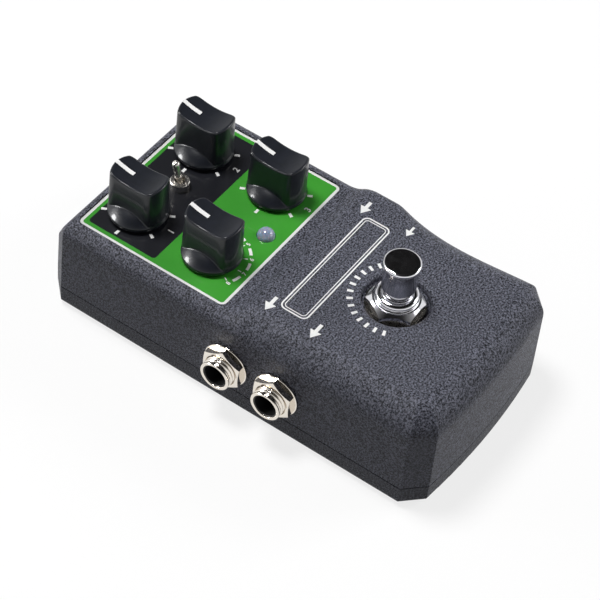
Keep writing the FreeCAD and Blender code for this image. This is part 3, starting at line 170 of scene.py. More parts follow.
def rings(grid, around=True, caps=True, closed=False):
    """Points and faces of a skin through rows of points. around joins each row's end to its start,
    closed joins the last row to the first, and caps fill the first and the last row."""
    rows, columns = grid.shape[:2]
    index = np.arange(rows * columns).reshape(rows, columns)
    if around:
        index = np.concatenate([index, index[:, :1]], axis=1)
    if closed:
        index = np.concatenate([index, index[:1]], axis=0)
    quads = np.stack([index[:-1, :-1], index[:-1, 1:], index[1:, 1:], index[1:, :-1]], axis=-1)
    faces = quads.reshape(-1, 4).tolist()
    if caps and around and not closed:
        faces += [index[0, :-1][::-1].tolist(), index[-1, :-1].tolist()]
    return grid.reshape(-1, 3), faces


side = np.linspace(-3, 3, 3)
floor_mesh = mesh_of("floor", [rings(sheet_grid(side, side, 0.0), around=False)])
print("floor", len(floor_mesh.polygons), "faces")

# %% [markdown]
# ## Floor
#
# The photograph is a catalogue picture on plain white, yet the pedal's walls are dark, so little light
# comes back from below. White paper would brighten them. Grey paper keeps them dark, and for camera and
# mirror rays it also glows, so that it comes out white while the pedal's own shadow still shows.

# %% Floor
paper_glow = 0.78
floor = bpy.data.objects.new("floor", floor_mesh)
bpy.context.scene.collection.objects.link(floor)
paper, tree, shader, _ = start("matte_grey_paper", "#7c7c7c", Roughness=0.9)
rays = add(tree, "LightPath")
seen = rays.outputs["Is Camera Ray"]
for kind in ("Is Glossy Ray", "Is Transmission Ray"):
    seen = add(tree, "Math", {0: seen, 1: rays.outputs[kind]}, operation="MAXIMUM").outputs[0]
glow = add(tree, "Math", {0: seen, 1: paper_glow}, operation="MULTIPLY")
shader.inputs["Emission Color"].default_value = (1, 1, 1, 1)
tree.links.new(glow.outputs[0], shader.inputs["Emission Strength"])
floor.data.materials.append(paper)
print(paper.name, "on floor")

# %% [markdown]
# ## World
#
# The world is white to the camera. To the metal it is a bright band near the floor and dark above, like
# a studio with a black ceiling, because the flat top of the button mirrors black in the photograph. It
# could be a ring of real cards, but a ramp on the height of the ray is one node. On paint it counts for
# a tenth, so the lamps do the lighting.

# %% World
band_low, band_high, ceiling = 0.2, 0.66, 0.008
share_on_paint = 0.1
world = bpy.data.worlds.new("studio")
world.use_nodes = True
tree = world.node_tree
sky = tree.nodes["Background"]
height = add(tree, "SeparateXYZ", {0: add(tree, "TexCoord").outputs["Generated"]}).outputs["Z"]
band = add(tree, "MapRange", {"Value": height, "From Min": band_low, "From Max": band_high,
                              "To Min": 1.0, "To Max": ceiling})
rays = add(tree, "LightPath")
weak = add(tree, "Math", {0: rays.outputs["Is Diffuse Ray"], 1: share_on_paint - 1, 2: 1.0},
           operation="MULTIPLY_ADD")
dim = add(tree, "Math", {0: band.outputs[0], 1: weak.outputs[0]}, operation="MULTIPLY")
strength = add(tree, "Math", {0: dim.outputs[0], 1: rays.outputs["Is Camera Ray"]}, operation="MAXIMUM")
tree.links.new(strength.outputs[0], sky.inputs["Strength"])
sky.inputs["Color"].default_value = (1, 1, 1, 1)
bpy.context.scene.world = world
bpy.context.scene.view_settings.view_transform = "Standard"
print("world dark from", round(float(np.degrees(np.arcsin(band_high)))), "degrees above the floor")

# %% [markdown]
# ## Lamps
#
# Four lamps light the pedal: a key nearly overhead, two fills in front and a weak one behind. A bright
# card, low behind the left side, only shows in gloss: it is the spot on each knob. Each strength is a
# share of white paper instead of a number of watts, which keeps colours as written.

# %% Softboxes
def softbox(name, direction, distance, size, share, shape="SQUARE", mirrored_only=False):
    """A lamp that alone would light a white sheet facing it to the given share of white. One that is
    mirrored only is a bright card, seen in gloss and too small to light anything."""
    lamp = bpy.data.lights.new(name, "AREA")
    lamp.shape = shape
    lamp.size = size
    lamp.energy = share * np.pi ** 2 * distance ** 2
    holder = bpy.data.objects.new(name, lamp)
    toward = Vector(direction).normalized()
    holder.location = toward * distance
    holder.rotation_euler = (-toward).to_track_quat("-Z", "Y").to_euler()
    holder.visible_diffuse = not mirrored_only
    bpy.context.scene.collection.objects.link(holder)
    print(name, round(lamp.energy, 2), "W")


# name, direction, distance and size in metres, share of white
softbox("key", (-0.05, 0.3, 0.95), 1.0, 0.3, 0.8, "DISK")
softbox("spot", (-0.55, 0.79, 0.28), 1.2, 0.36, 1.0, "DISK", mirrored_only=True)
softbox("rear_fill", (-0.3, 0.85, 0.4), 1.3, 0.4, 0.1)
softbox("right_fill", (0.66, -0.52, 0.54), 1.2, 0.4, 0.28)
softbox("front_fill", (0.45, -0.82, 0.3), 1.3, 0.5, 0.1)

# %% [markdown]
# ## Powder coat on the case
#
# The die-cast shell and its tray are powder coated: a charcoal polyester powder, baked on with a fine texture,
# so that the light breaks up into specks about half a millimetre across. It could be sculpted, but a noise that
# lifts the surface and shifts the colour a little costs nothing. The paler specks in the colour are partly the
# coat's own uneven tone and partly painted glints of the light on that texture. The rough noise has specks
# within specks, as grains of powder of all sizes give.

# %% Powder coat
def powder_coat(name, dark, light, grain):
    """Dull charcoal with paler specks, partly its own uneven tone and partly painted glints. A noise of the
    given grain picks the specks and lifts them.
    """
    material, tree, shader, coordinates = start(name, dark, Roughness=0.46, Specular_IOR_Level=0.13)
    noise = add(tree, "TexNoise", {"Vector": coordinates, "Scale": 1 / grain, "Detail": 4.0, "Roughness": 0.78})
    # painted glints: the paler colour of the specks stands partly for light caught by the texture
    specks = add(tree, "MapRange", {"Value": noise.outputs["Fac"], "From Min": 0.43, "From Max": 0.62})
    mix = add(tree, "Mix", {0: specks.outputs[0], 6: srgb(dark), 7: srgb(light)}, data_type="RGBA")
    tree.links.new(mix.outputs[2], shader.inputs["Base Color"])
    bump = add(tree, "Bump", {"Height": noise.outputs["Fac"], "Strength": 0.75, "Distance": 0.16 * mm})
    tree.links.new(bump.outputs[0], shader.inputs["Normal"])
    return material


grain = 0.5 * mm
dress(powder_coat("polyester_powder_coat", "#0f1015", "#7f818f", grain), "top_shell")
# the same coat with painted shade: its colours are made a shade darker than the shell's, for the tray lying in
# the case's shadow
dress(powder_coat("polyester_powder_coat_tray_painted_shade", "#0e0f14", "#6c6e79", grain), "base_tray")

# %% [markdown]
# ## Plated metal
#
# The jacks are brass with bright nickel, which is a little warm, and the footswitch is brass with
# chrome, which is colder and clearer. Both mirror the white floor and the dark room. The toggle is
# steel with a satin nickel, which spreads the mirror image into a soft grey. A perfect mirror would
# look drawn, so smudges change the roughness from place to place, and a fine noise stands for the
# marks of turning.

# %% Nickel and chrome
def plating(name, colour, roughness, wear):
    """A mirror with a tint, from the given roughness to that plus the wear, in smudges of 1.8 mm."""
    material, tree, shader, coordinates = start(name, colour, Metallic=1.0, Roughness=roughness)
    smudge = add(tree, "TexNoise", {"Vector": coordinates, "Scale": 1 / (1.8 * mm), "Detail": 4.0})
    level = add(tree, "MapRange", {"Value": smudge.outputs["Fac"], "From Min": 0.3, "From Max": 0.7,
                                   "To Min": roughness, "To Max": roughness + wear})
    tree.links.new(level.outputs[0], shader.inputs["Roughness"])
    fine = add(tree, "TexNoise", {"Vector": coordinates, "Scale": 1 / (0.25 * mm), "Detail": 2.0})
    bump = add(tree, "Bump", {"Height": fine.outputs["Fac"], "Strength": 0.05, "Distance": 0.02 * mm})
    tree.links.new(bump.outputs[0], shader.inputs["Normal"])
    return material


nickel = plating("bright_nickel_plated_brass", "#e3dcd2", 0.08, 0.08)
chrome = plating("polished_chrome_plated_brass", "#dedee2", 0.09, 0.06)
satin = plating("satin_nickel_plated_steel", "#ebe7e1", 0.2, 0.08)
dress(nickel, "footswitch_washer", "pot_nuts")
dress(satin, "toggle_lever", "toggle_body", "toggle_nut")

# %% [markdown]
# ## Black plastic for the knobs
#
# The knobs are moulded in black phenolic and polished in use: a dark, slightly blue body whose own
# roughness spreads each lamp into a soft halo, under a thin clear skin that mirrors it sharply. One
# roughness alone would give either the halo or the spot, and the photograph shows both.

# %% Phenolic
# deep black with a blue cast, glossy, with a faint waviness of the polished surface
phenolic, tree, shader, coordinates = start("moulded_glossy_phenolic", "#171a20", Roughness=0.36,
                                            Specular_IOR_Level=0.26, Coat_Weight=0.28, Coat_Roughness=0.05)
peel = add(tree, "TexNoise", {"Vector": coordinates, "Scale": 1 / (2.2 * mm), "Detail": 2.0})
bump = add(tree, "Bump", {"Height": peel.outputs["Fac"], "Strength": 0.05, "Distance": 0.1 * mm})
tree.links.new(bump.outputs[0], shader.inputs["Normal"])
tint = add(tree, "Mix", {0: peel.outputs["Fac"], 6: srgb("#14171c"), 7: srgb("#1f222b")}, data_type="RGBA")
tree.links.new(tint.outputs[2], shader.inputs["Base Color"])
print(phenolic.name, "for the knobs")

# %% [markdown]
# ## New pieces
#
# Each new piece is one or more skins of points. This cell's function makes the object, smooths it up to a given
# crease, hangs it on its body and hides the CAD parts that it replaces. Shapes are worked out upright on the Z
# axis, because their formulas are plain there, and their points are then turned and moved.

# %% Make a piece
def piece(name, shells, body, material, replaces=(), crease=35):
    """An object from shells given in millimetres, riding on a body."""
    mesh = mesh_of(name, [(points * mm, faces) for points, faces in shells])
    mesh.shade_smooth()
    mesh.set_sharp_from_angle(angle=np.radians(crease))
    mesh.materials.append(material)
    item = bpy.data.objects.new(name, mesh)
    bpy.context.scene.collection.objects.link(item)
    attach(item, body)
    if replaces:
        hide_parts(*replaces)
    print(name, len(mesh.polygons), "faces")
    return item


def place(points, origin, axis="Z"):
    """Points made along Z, turned to face along an axis and moved to their origin."""
    a, b, c = np.moveaxis(points, -1, 0)
    facing = {"Z": (a, b, c), "X": (c, a, b), "-X": (-c, -a, b)}[axis]
    return np.stack(facing, axis=-1) + np.array(origin)


def angles(count):
    """Bearings once round in equal steps, without the first one again at the end."""
    return np.arange(count) * 2 * np.pi / count


def lathe(profile, columns=96):
    """Rows of rings: each profile point, a radius and a height, is carried once round the Z axis."""
    radius, rise = np.array(profile, float).T[:, :, None]
    turn = angles(columns)[None, :]
    return np.stack([radius * np.cos(turn), radius * np.sin(turn), rise + 0 * turn], axis=-1)


print("a lathe turns in steps of", round(float(np.degrees(angles(96)[1])), 2), "degrees")

# %% [markdown]
# ## Ink
#
# Scale marks, numbers and signs are screen printed in white ink, a film a few hundredths of a
# millimetre thick, and the knobs' pointers are filled with the same. It is matte next to the gloss
# round it and not quite even. Flat white would look like paper, so the tone drifts a little.

# %% White ink
ink, tree, shader, coordinates = start("screen_printed_white_ink", "#f2f2f0", Roughness=0.45)
mottle = add(tree, "TexNoise", {"Vector": coordinates, "Scale": 1 / (0.6 * mm), "Detail": 3.0})
tint = add(tree, "Mix", {0: mottle.outputs["Fac"], 6: srgb("#e6e6e6"), 7: srgb("#fbfbf9")}, data_type="RGBA")
tree.links.new(tint.outputs[2], shader.inputs["Base Color"])
bump = add(tree, "Bump", {"Height": mottle.outputs["Fac"], "Strength": 0.1, "Distance": 0.01 * mm})
tree.links.new(bump.outputs[0], shader.inputs["Normal"])
print(ink.name, "for pointers, marks, numbers and signs")

# %% [markdown]
# ## Knobs
#
# A knob is a round skirt with a low dome and a grip bar across it, hollow underneath for the nut and
# the shaft. Every point of its wall can be named by a bearing and a height: the wall stands at the
# bar's outline or at the dome's, whichever is farther out. So the whole knob is one smooth skin, where
# a Boolean of two solids would leave a hard seam between dome and bar.

# %% Knobs
knobs = {"rear_left": (-14.65, 43.1), "rear_right": (14.65, 43.1), "front_left": (-14.65, 19.0),
         "front_right": (14.65, 19.0)}
knob_foot, bar_ends = 31.5, 45.1
bar_half_width, bar_half_length, foot_half_length = 4.6, 7.8, 8.05
bar_draft = 0.2
ball_radius, ball_middle, rim_height, rim_radius = 10.4, 26.05, 32.3, 8.2
hollow_depth, edge = 1.35, 0.5
hollow_radius = (bar_half_length ** 2 + hollow_depth ** 2) / (2 * hollow_depth)


def soft_less(a, b, round_off):
    """The smaller of two values, the step between them rounded off."""
    share = np.clip(0.5 + 0.5 * (b - a) / round_off, 0, 1)
    return b * (1 - share) + a * share - round_off * share * (1 - share)


def knob_wall(turn, rise):
    """Distance from the axis at a bearing and a height. The bar is a circle, drawn in a little towards
    the top, cut by two planes; the dome is a ball down to a rim; the farther one counts."""
    up = (rise - knob_foot) / (bar_ends - knob_foot)
    across = (bar_half_width + bar_draft * (1 - up)) / np.maximum(np.abs(np.cos(turn)), 1e-6)
    bar = soft_less(across, foot_half_length + (bar_half_length - foot_half_length) * up, 1.3)
    ball = np.sqrt(np.maximum(ball_radius ** 2 - (np.maximum(rise, rim_height) - ball_middle) ** 2, 0.01))
    dome = soft_less(ball, rim_radius + 0 * ball, 0.12)
    return -soft_less(-bar, -dome, 0.3)


def saddle(y):
    """Height of the finger hollow: an arc about a line across the bar."""
    return bar_ends - hollow_depth + hollow_radius - np.sqrt(hollow_radius ** 2 - np.clip(y, -8, 8) ** 2)


def knob_skin(columns=288):
    """Rings from the shaft's hole down and out to the foot, up the wall to just below the edge, over
    the edge along a quarter circle, and in along the hollow to the middle."""
    turn = angles(columns)
    ring = lambda r, z: np.stack([r * np.cos(turn), r * np.sin(turn), z + 0 * turn], axis=-1)
    under = ((0, 42.5), (3.05, 42.5), (3.05, 34.2), (6.5, 34.2), (6.5, knob_foot), (7.95, knob_foot),
             (8.15, knob_foot + 0.1))
    rows = [ring(r, z) for r, z in under]
    brim = saddle(knob_wall(turn, bar_ends + 0 * turn) * np.sin(turn))
    for share in np.concatenate([np.linspace(0.03, 0.36, 34), np.linspace(0.4, 1, 12)]):
        rise = knob_foot + share * (brim - edge - knob_foot)
        rows.append(ring(knob_wall(turn, rise), rise))
    for lean in np.linspace(0, np.pi / 2, 7)[1:]:
        rise = brim - edge * (1 - np.sin(lean))
        rows.append(ring(knob_wall(turn, rise) - edge * (1 - np.cos(lean)), rise))
    last = rows[-1]
    for share in np.linspace(1, 0, 22)[1:]:
        rows.append(np.stack([last[:, 0] * share, last[:, 1] * share,
                              saddle(last[:, 1] * share) + (last[:, 2] - saddle(last[:, 1])) * share], axis=-1))
    return rings(np.stack(rows), caps=False)


for corner, (x, y) in knobs.items():
    points, faces = knob_skin()
    knob = "knob_" + corner
    piece("grip_" + corner, [(place(points, (x, y, 0)), faces)], knob, phenolic, [knob], 40)

# %% [markdown]
# ## Pointers
#
# Each knob's bar has a line along its hollow and down its end, filled with white. The fill is a small
# rectangle carried along the knob's own skin: out along the hollow, over the edge and down the wall. A
# groove cut by a Boolean would need its own fill as well, so the fill alone is made.

# %% Pointers
def pointer_fill(width=1.24, proud=0.05, deep=0.25):
    """A rectangle's four corners carried along the middle of the bar, just proud of the skin outside
    and a little deep in it inside."""
    quarter = np.full(1, np.pi / 2)
    brim = float(saddle(knob_wall(quarter, np.array([bar_ends])))[0])
    side = lambda z: float(knob_wall(quarter, np.array([z]))[0])
    along = np.linspace(1.72, side(brim) - edge, 16)
    lift = along / along[-1] * (brim - saddle(along[-1]))
    line = [(y, z, 0.0, 1.0) for y, z in zip(along, saddle(along) + lift)]
    line += [(side(brim) - edge * (1 - np.sin(a)), brim - edge * (1 - np.cos(a)), np.sin(a), np.cos(a))
             for a in np.linspace(0.2, np.pi / 2, 8)]
    line += [(side(z), z, 1.0, 0.0) for z in np.linspace(brim - edge - 0.1, 43.3, 5)]
    y, z, out_y, out_z = np.array(line).T
    corners = [(x, y + out_y * h, z + out_z * h) for x, h in
               ((-width / 2, -deep), (-width / 2, proud), (width / 2, proud), (width / 2, -deep))]
    return np.stack([np.stack([np.full(len(y), x), b, c], axis=1) for x, b, c in corners], axis=1)


for corner, (x, y) in knobs.items():
    fill = rings(place(pointer_fill(), (x, y, 0)))
    piece("pointer_" + corner, [fill], "knob_" + corner, ink, crease=40)

# %% [markdown]
# ## The control plate's print
#
# The plate is aluminium, screen printed in three colours and lacquered: a white border, a green field
# and a black one with round corners over its rear part. The colours are areas with exact edges, so
# they are worked out in the material: the distance to a rounded rectangle is how far a point lies
# outside the rectangle made smaller by its corner radius, and inside means less than that radius.

# %% Control plate
def inside(tree, coordinates, low, high, radius):
    """1 inside a rounded rectangle from low to high in millimetres, 0 outside."""
    low, high = np.array(low) * mm, np.array(high) * mm
    centre, half = (low + high) / 2, (high - low) / 2 - radius * mm
    flat = add(tree, "VectorMath", {0: coordinates, 1: (1, 1, 0)}, operation="MULTIPLY")
    moved = add(tree, "VectorMath", {0: flat.outputs[0], 1: (*centre, 0)}, operation="SUBTRACT")
    folded = add(tree, "VectorMath", {0: moved.outputs[0]}, operation="ABSOLUTE")
    beyond = add(tree, "VectorMath", {0: folded.outputs[0], 1: (*half, 0)}, operation="SUBTRACT")
    clipped = add(tree, "VectorMath", {0: beyond.outputs[0], 1: (0, 0, 0)}, operation="MAXIMUM")
    away = add(tree, "VectorMath", {0: clipped.outputs[0]}, operation="LENGTH")
    return add(tree, "Math", {0: away.outputs["Value"], 1: radius * mm}, operation="LESS_THAN").outputs[0]


# clean flat colours under a clear gloss that carries soft mirror images of the knobs
plate, tree, shader, coordinates = start("screen_printed_aluminium_plate", "#f0f0ee", Roughness=0.3,
                                         Coat_Weight=0.6, Coat_Roughness=0.08)
green = inside(tree, coordinates, (-26.4, 7.0), (26.4, 52.6), 0.8)
black = inside(tree, coordinates, (-25.2, 29.8), (25.2, 51.6), 1.0)
cloud = add(tree, "TexNoise", {"Vector": coordinates, "Scale": 1 / (9 * mm), "Detail": 3.0})
field = add(tree, "Mix", {0: cloud.outputs["Fac"], 6: srgb("#36912b"), 7: srgb("#43a335")}, data_type="RGBA")
print_one = add(tree, "Mix", {0: green, 6: srgb("#efefed"), 7: field.outputs[2]}, data_type="RGBA")
print_two = add(tree, "Mix", {0: black, 6: print_one.outputs[2], 7: srgb("#15161c")}, data_type="RGBA")
tree.links.new(print_two.outputs[2], shader.inputs["Base Color"])
peel = add(tree, "TexNoise", {"Vector": coordinates, "Scale": 1 / (0.8 * mm), "Detail": 2.0})
bump = add(tree, "Bump", {"Height": peel.outputs["Fac"], "Strength": 0.05, "Distance": 0.05 * mm})
tree.links.new(bump.outputs[0], shader.inputs["Normal"])
dress(plate, "control_panel")

# %% [markdown]
# ## Scale marks
#
# Three dials have six short dashes each, at 30, 90 and 150 degrees either side of the rear. The front
# left dial has a longer scale instead: thin ticks, plain numbers and a thick broken arc. They could be
# part of the plate's material, but as thin films they keep crisp edges at any distance.

# %% Marks on the plate
plate_top = 30.5
film = 0.03


def arc_bar(centre, inner, outer, first, last, steps=8, z=plate_top):
    """Part of a flat ring: its four-cornered section carried from one bearing to another. A bearing is
    in degrees clockwise from the rear."""
    bearing = np.radians(np.linspace(last, first, steps))[:, None]
    radius = np.array([inner, outer, outer, inner])[None, :]
    rise = np.array([z, z, z + film, z + film])[None, :]
    grid = np.stack([centre[0] + radius * np.sin(bearing), centre[1] + radius * np.cos(bearing),
                     rise + 0 * bearing], axis=-1)
    return rings(grid)


marks = []
dash_ring, tick_ring, arc_ring = (8.35, 9.85), (8.4, 9.5), (9.9, 10.7)
dash_half, tick_half = 2.6, 0.8
scale_bearings = (90, 120, 150, 180, 210)
for corner, centre in knobs.items():
    if corner != "front_left":
        for bearing in (-150, -90, -30, 30, 90, 150):
            marks.append(arc_bar(centre, *dash_ring, bearing - dash_half, bearing + dash_half, 2))
dial = knobs["front_left"]
for bearing in scale_bearings:
    marks.append(arc_bar(dial, *tick_ring, bearing - tick_half, bearing + tick_half, 2))
for first, last in ((98, 112), (128, 142), (158, 172), (188, 202)):
    marks.append(arc_bar(dial, *arc_ring, first, last, 10))
piece("scale_marks", marks, "case", ink, crease=30)

# %% [markdown]
# ## Numbers
#
# A flat text object takes its outline from Blender's own font. It is made a mesh first, and its points are then
# moved as an array, so the finished piece sits at the origin as all others do.

# %% Numbers
def digit_film(digit, size, centre):
    """Points and faces of a digit on the plate, its middle on the centre. Its outline is moved outwards
    a little, because a real dial has a bolder face than Blender's own font."""
    curve = bpy.data.curves.new("digit", "FONT")
    curve.body = digit
    curve.size = size
    curve.extrude = film / 2
    curve.offset = size * 0.022
    curve.resolution_u = 6
    holder = bpy.data.objects.new("digit", curve)
    bpy.context.scene.collection.objects.link(holder)
    mesh = bpy.data.meshes.new_from_object(holder)
    points = np.empty(len(mesh.vertices) * 3)
    mesh.vertices.foreach_get("co", points)
    points = points.reshape(-1, 3)
    points[:, :2] -= (points[:, :2].min(0) + points[:, :2].max(0)) / 2
    points[:, 2] += film / 2
    faces = [list(polygon.vertices) for polygon in mesh.polygons]
    bpy.data.objects.remove(holder)
    bpy.data.curves.remove(curve)
    bpy.data.meshes.remove(mesh)
    return points + np.array([*centre, plate_top]), faces


numbers = []
number_radius, small, large = 10.5, 1.7, 2.6
for digit, bearing in zip("45678", scale_bearings):
    out = np.array([np.sin(np.radians(bearing)), np.cos(np.radians(bearing))])
    numbers.append(digit_film(digit, small, np.array(dial) + number_radius * out))
for digit, spot in (("1", (-14.65, 32.3)), ("2", (14.65, 32.3)), ("3", (14.65, 8.7))):
    numbers.append(digit_film(digit, large, spot))
piece("dial_numbers", numbers, "case", ink, crease=30)

# %% [markdown]
# ## Signs on the deck
#
# The deck has plain printed signs: arrows at the jacks, an empty label field across the deck and a ring
# of dashes round the footswitch. They lie on the paint, so their height follows the ramp behind the
# front deck, an arc of radius 8.05 mm. A Shrinkwrap modifier could press them on, but the arc is known,
# so their height is worked out.

# %% Films on the deck
deck_top, ramp_head, ramp_run, ramp_radius = 34.0, -3.5, 4.75, 8.053


def deck_height(y):
    """The front deck's height, falling along an arc behind the head of the ramp."""
    past = np.clip(np.asarray(y, float) - ramp_head, 0, ramp_run)
    return deck_top - (ramp_radius - np.sqrt(ramp_radius ** 2 - past ** 2))


def slab(outline):
    """A flat film with a closed outline: its points low and high, with the ends filled."""
    x, y = np.array(outline, float).T
    low = np.stack([x, y, deck_height(y)], axis=1)
    return rings(np.stack([low, low + np.array([0, 0, film])]))


def line_film(path, width):
    """A closed line: the path's points moved half the width to either side, low and high."""
    path = np.array(path, float)
    along = np.roll(path, -1, axis=0) - np.roll(path, 1, axis=0)
    along /= np.linalg.norm(along, axis=1, keepdims=True)
    side = np.stack([-along[:, 1], along[:, 0]], axis=1) * width / 2
    left, right = path + side, path - side
    lift = np.array([0, 0, film])
    low_left, low_right = (np.column_stack([p, deck_height(p[:, 1])]) for p in (left, right))
    return rings(np.stack([low_right, low_right + lift, low_left + lift, low_left], axis=1), closed=True)


def round_box(low, high, radius, steps=8):
    """Points along a rounded rectangle, anticlockwise: a quarter circle about each inner corner."""
    quarter = np.radians(np.linspace(0, 90, steps))
    x = np.array([high[0] - radius, low[0] + radius, low[0] + radius, high[0] - radius])
    y = np.array([high[1] - radius, high[1] - radius, low[1] + radius, low[1] + radius])
    turn = quarter[None, :] + np.radians([0, 90, 180, 270])[:, None]
    points = [x[:, None] + radius * np.cos(turn), y[:, None] + radius * np.sin(turn)]
    return np.stack(points, axis=-1).reshape(-1, 2)


def arrow(x, y, length=5.4, head=2.7, bar=1.0):
    """An arrow to the left about a middle point: its head is the last part of its length."""
    neck, barb = length / 2 - head, head / 2 + 0.3
    half = np.array([(-length / 2, -bar / 2), (neck, -bar / 2), (neck, -barb)])
    points = np.concatenate([half, [(length / 2, 0)], (half * [1, -1])[::-1]])
    return slab([x, y] - points)


print("deck from", deck_top, "down to", round(float(deck_height(2)), 2), "mm on the ramp")

# %% [markdown]
# ## The signs
#
# Each arrow lies on the deck beside a jack. The label field is two closed lines, one inside the other,
# and the dashes stand on a circle round the footswitch, so the same arc that marks the dials makes them.

# %% Signs
signs = [arrow(-21.3, -4.3), arrow(-21.8, -18.6), arrow(22.1, -4.6, 5.0), arrow(22.3, -18.6, 4.0, 2.1, 0.7)]
signs.append(line_film(round_box((-20.5, -14.4), (19.5, -6.4), 1.6), 0.42))
signs.append(line_film(round_box((-19.7, -13.6), (18.7, -7.2), 1.0), 0.26))
switch = (0, -28.75)
switch_ring = (11.2, 12.9)
dash_half = 1.9
for bearing in np.arange(-108, 40, 12.0):
    signs.append(arc_bar(switch, *switch_ring, bearing - dash_half, bearing + dash_half, 3, deck_top))
piece("deck_signs", signs, "case", ink, crease=30)

# %% [markdown]
# ## Threads
#
# The threaded bushes of the jacks and the footswitch catch the light in rings. A thread is a surface of
# two parameters, the bearing and the height: the radius falls from crest to root with the distance to
# the nearest turn of the helix, which climbs one pitch for each turn. It could be a screw modifier,
# but the formula gives a closed mesh with the bevelled mouth and the bore in one go.

# %% A thread
def threaded(outer, depth, pitch, foot, top, bore, lip, mouth=None, columns=96, rows_per_turn=14):
    """A threaded tube. Crest height is 1 on the helix and falls off as a rounded ridge; the radius is the
    outer one less the depth times what is missing from a crest. The last stretch has no thread: a
    bevel leads to a flat mouth ring, whose inner edge is rounded into the bore, unless another mouth
    is given as radii and heights."""
    rise = np.linspace(foot, top - lip, int((top - lip - foot) / pitch * rows_per_turn))[:, None]
    turn = angles(columns)[None, :]
    phase = (rise - foot) / pitch - turn / (2 * np.pi)
    crest = 0.5 + 0.5 * np.cos(2 * np.pi * phase)
    run_out = np.clip((top - lip - rise) / (0.6 * pitch), 0, 1)
    radius = outer - depth * (1 - crest ** 0.7 * run_out)
    outside = np.stack([radius * np.cos(turn), radius * np.sin(turn), rise + 0 * turn], axis=-1)
    inner = 0.22
    quarter = np.linspace(0, np.pi / 2, 6)
    flat = [(outer - depth, top - lip + 0.02), (outer - 0.1, top - lip + 0.22), (outer - 0.02, top - 0.3),
            (outer - 0.06, top - 0.12), (outer - 0.18, top)]
    flat += [(bore + inner * (1 - np.sin(a)), top - inner * (1 - np.cos(a))) for a in quarter]
    return rings(np.concatenate([outside, lathe([*(mouth or flat), (bore, foot)], columns)]), closed=True)


print("a thread of one turn has", len(threaded(4.5, 0.42, 1.0, 0, 1.85, 3.55, 0.85)[1]), "faces")

# %% [markdown]
# ## Jack bushes
#
# A jack's bush is 9 mm over its thread, with a flat mouth. Inside it the plug runs in a black moulding,
# so a thin lining stands just inside each mouth, and the bore looks dark from outside. A dark material
# on the bore's own faces would do too, but then the bright mouth and the black would share one edge.

# %% Jack bushes and linings
jacks = {"left_rear": ("-X", 1.0), "left_front": ("-X", -14.9), "right_rear": ("X", 2.0),
         "right_front": ("X", -13.9)}
jack_height = 15.5
jack_foot, jack_mouth, jack_bore, plug_bore = 29.0, 37.0, 3.55, 3.25
lining = [(plug_bore, jack_foot), (jack_bore, jack_foot), (jack_bore, 36.6), (3.45, 36.7), (3.35, 36.7),
          (plug_bore, 36.6)]
linings = []
for corner, (axis, y) in jacks.items():
    spot = (0, y, jack_height)
    points, faces = threaded(outer=4.5, depth=0.42, pitch=1.0, foot=jack_foot, top=jack_mouth, bore=jack_bore,
                             lip=0.85)
    piece("threaded_" + corner, [(place(points, spot, axis), faces)], "case", nickel,
          ["jack_bush_" + corner], 40)
    points, faces = rings(lathe(lining), closed=True)
    linings.append((place(points, spot, axis), faces))

# %% [markdown]
# ## Footswitch bush
#
# The footswitch's bush is 12 mm over its thread. Its mouth is a rounded collar close round the button,
# a quarter of an ellipse in section, so that it mirrors the bright band all round.

# %% Footswitch bush
crown = [(5.6, 36.05), (5.85, 36.15)]
crown += [(4.35 + 1.5 * np.cos(a), 36.2 + 1.1 * np.sin(a)) for a in np.linspace(0, np.pi / 2, 14)]
crown += [(4.1, 37.25), (3.85, 37.05)]
points, faces = threaded(outer=6.0, depth=0.4, pitch=0.9, foot=30.05, top=36.9, bore=3.85, lip=0.85,
                         mouth=crown)
piece("footswitch_thread", [(place(points, (*switch, 0)), faces)], "case", chrome,
      ["footswitch_bush"], 40)

# %% [markdown]
# ## The button
#
# The footswitch's button is turned from brass: a stem, an undercut and a head with a rounded edge. The
# CAD bevel is flat, so it mirrors one spot of the room. A rounded edge mirrors all of it from floor to
# ceiling, and that is the thin bright line round the black top in the photograph.

# %% Button
stem_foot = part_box("footswitch_button")[0][2] / mm + 0.03  # just clear of the spring under it
rim, shoulder, button_top = 0.65, 47.85, 48.5
profile = [(0, stem_foot), (4.4, stem_foot), (4.4, stem_foot + 1), (3.8, stem_foot + 1), (3.8, 39.6),
           (4.45, 39.6), (4.6, 39.75), (4.6, 46.8), (4.68, 46.95), (4.92, 47.2), (5.0, 47.4), (5.0, shoulder)]
quarter = np.linspace(0, np.pi / 2, 12)[1:]
profile += [(5.0 - rim + rim * np.cos(a), shoulder + rim * np.sin(a)) for a in quarter]
profile += [(3.0, button_top), (0, button_top)]
points, faces = rings(lathe(profile, 128), caps=False)
piece("footswitch_cap", [(place(points, (*switch, 0)), faces)], "footswitch", chrome,
      ["footswitch_button"], 40)

# %% [markdown]
# ## Hexagon nuts
#
# A real nut is a hexagon cut by a cone, which leaves a curved edge on each flat. A Boolean could cut
# it. But at each bearing the hexagon's radius is known, so the height where the cone cuts it is known
# too, and the nut is a few rings of points with exact corners. Under each jack's nut lies a turned
# washer with a rounded brim.

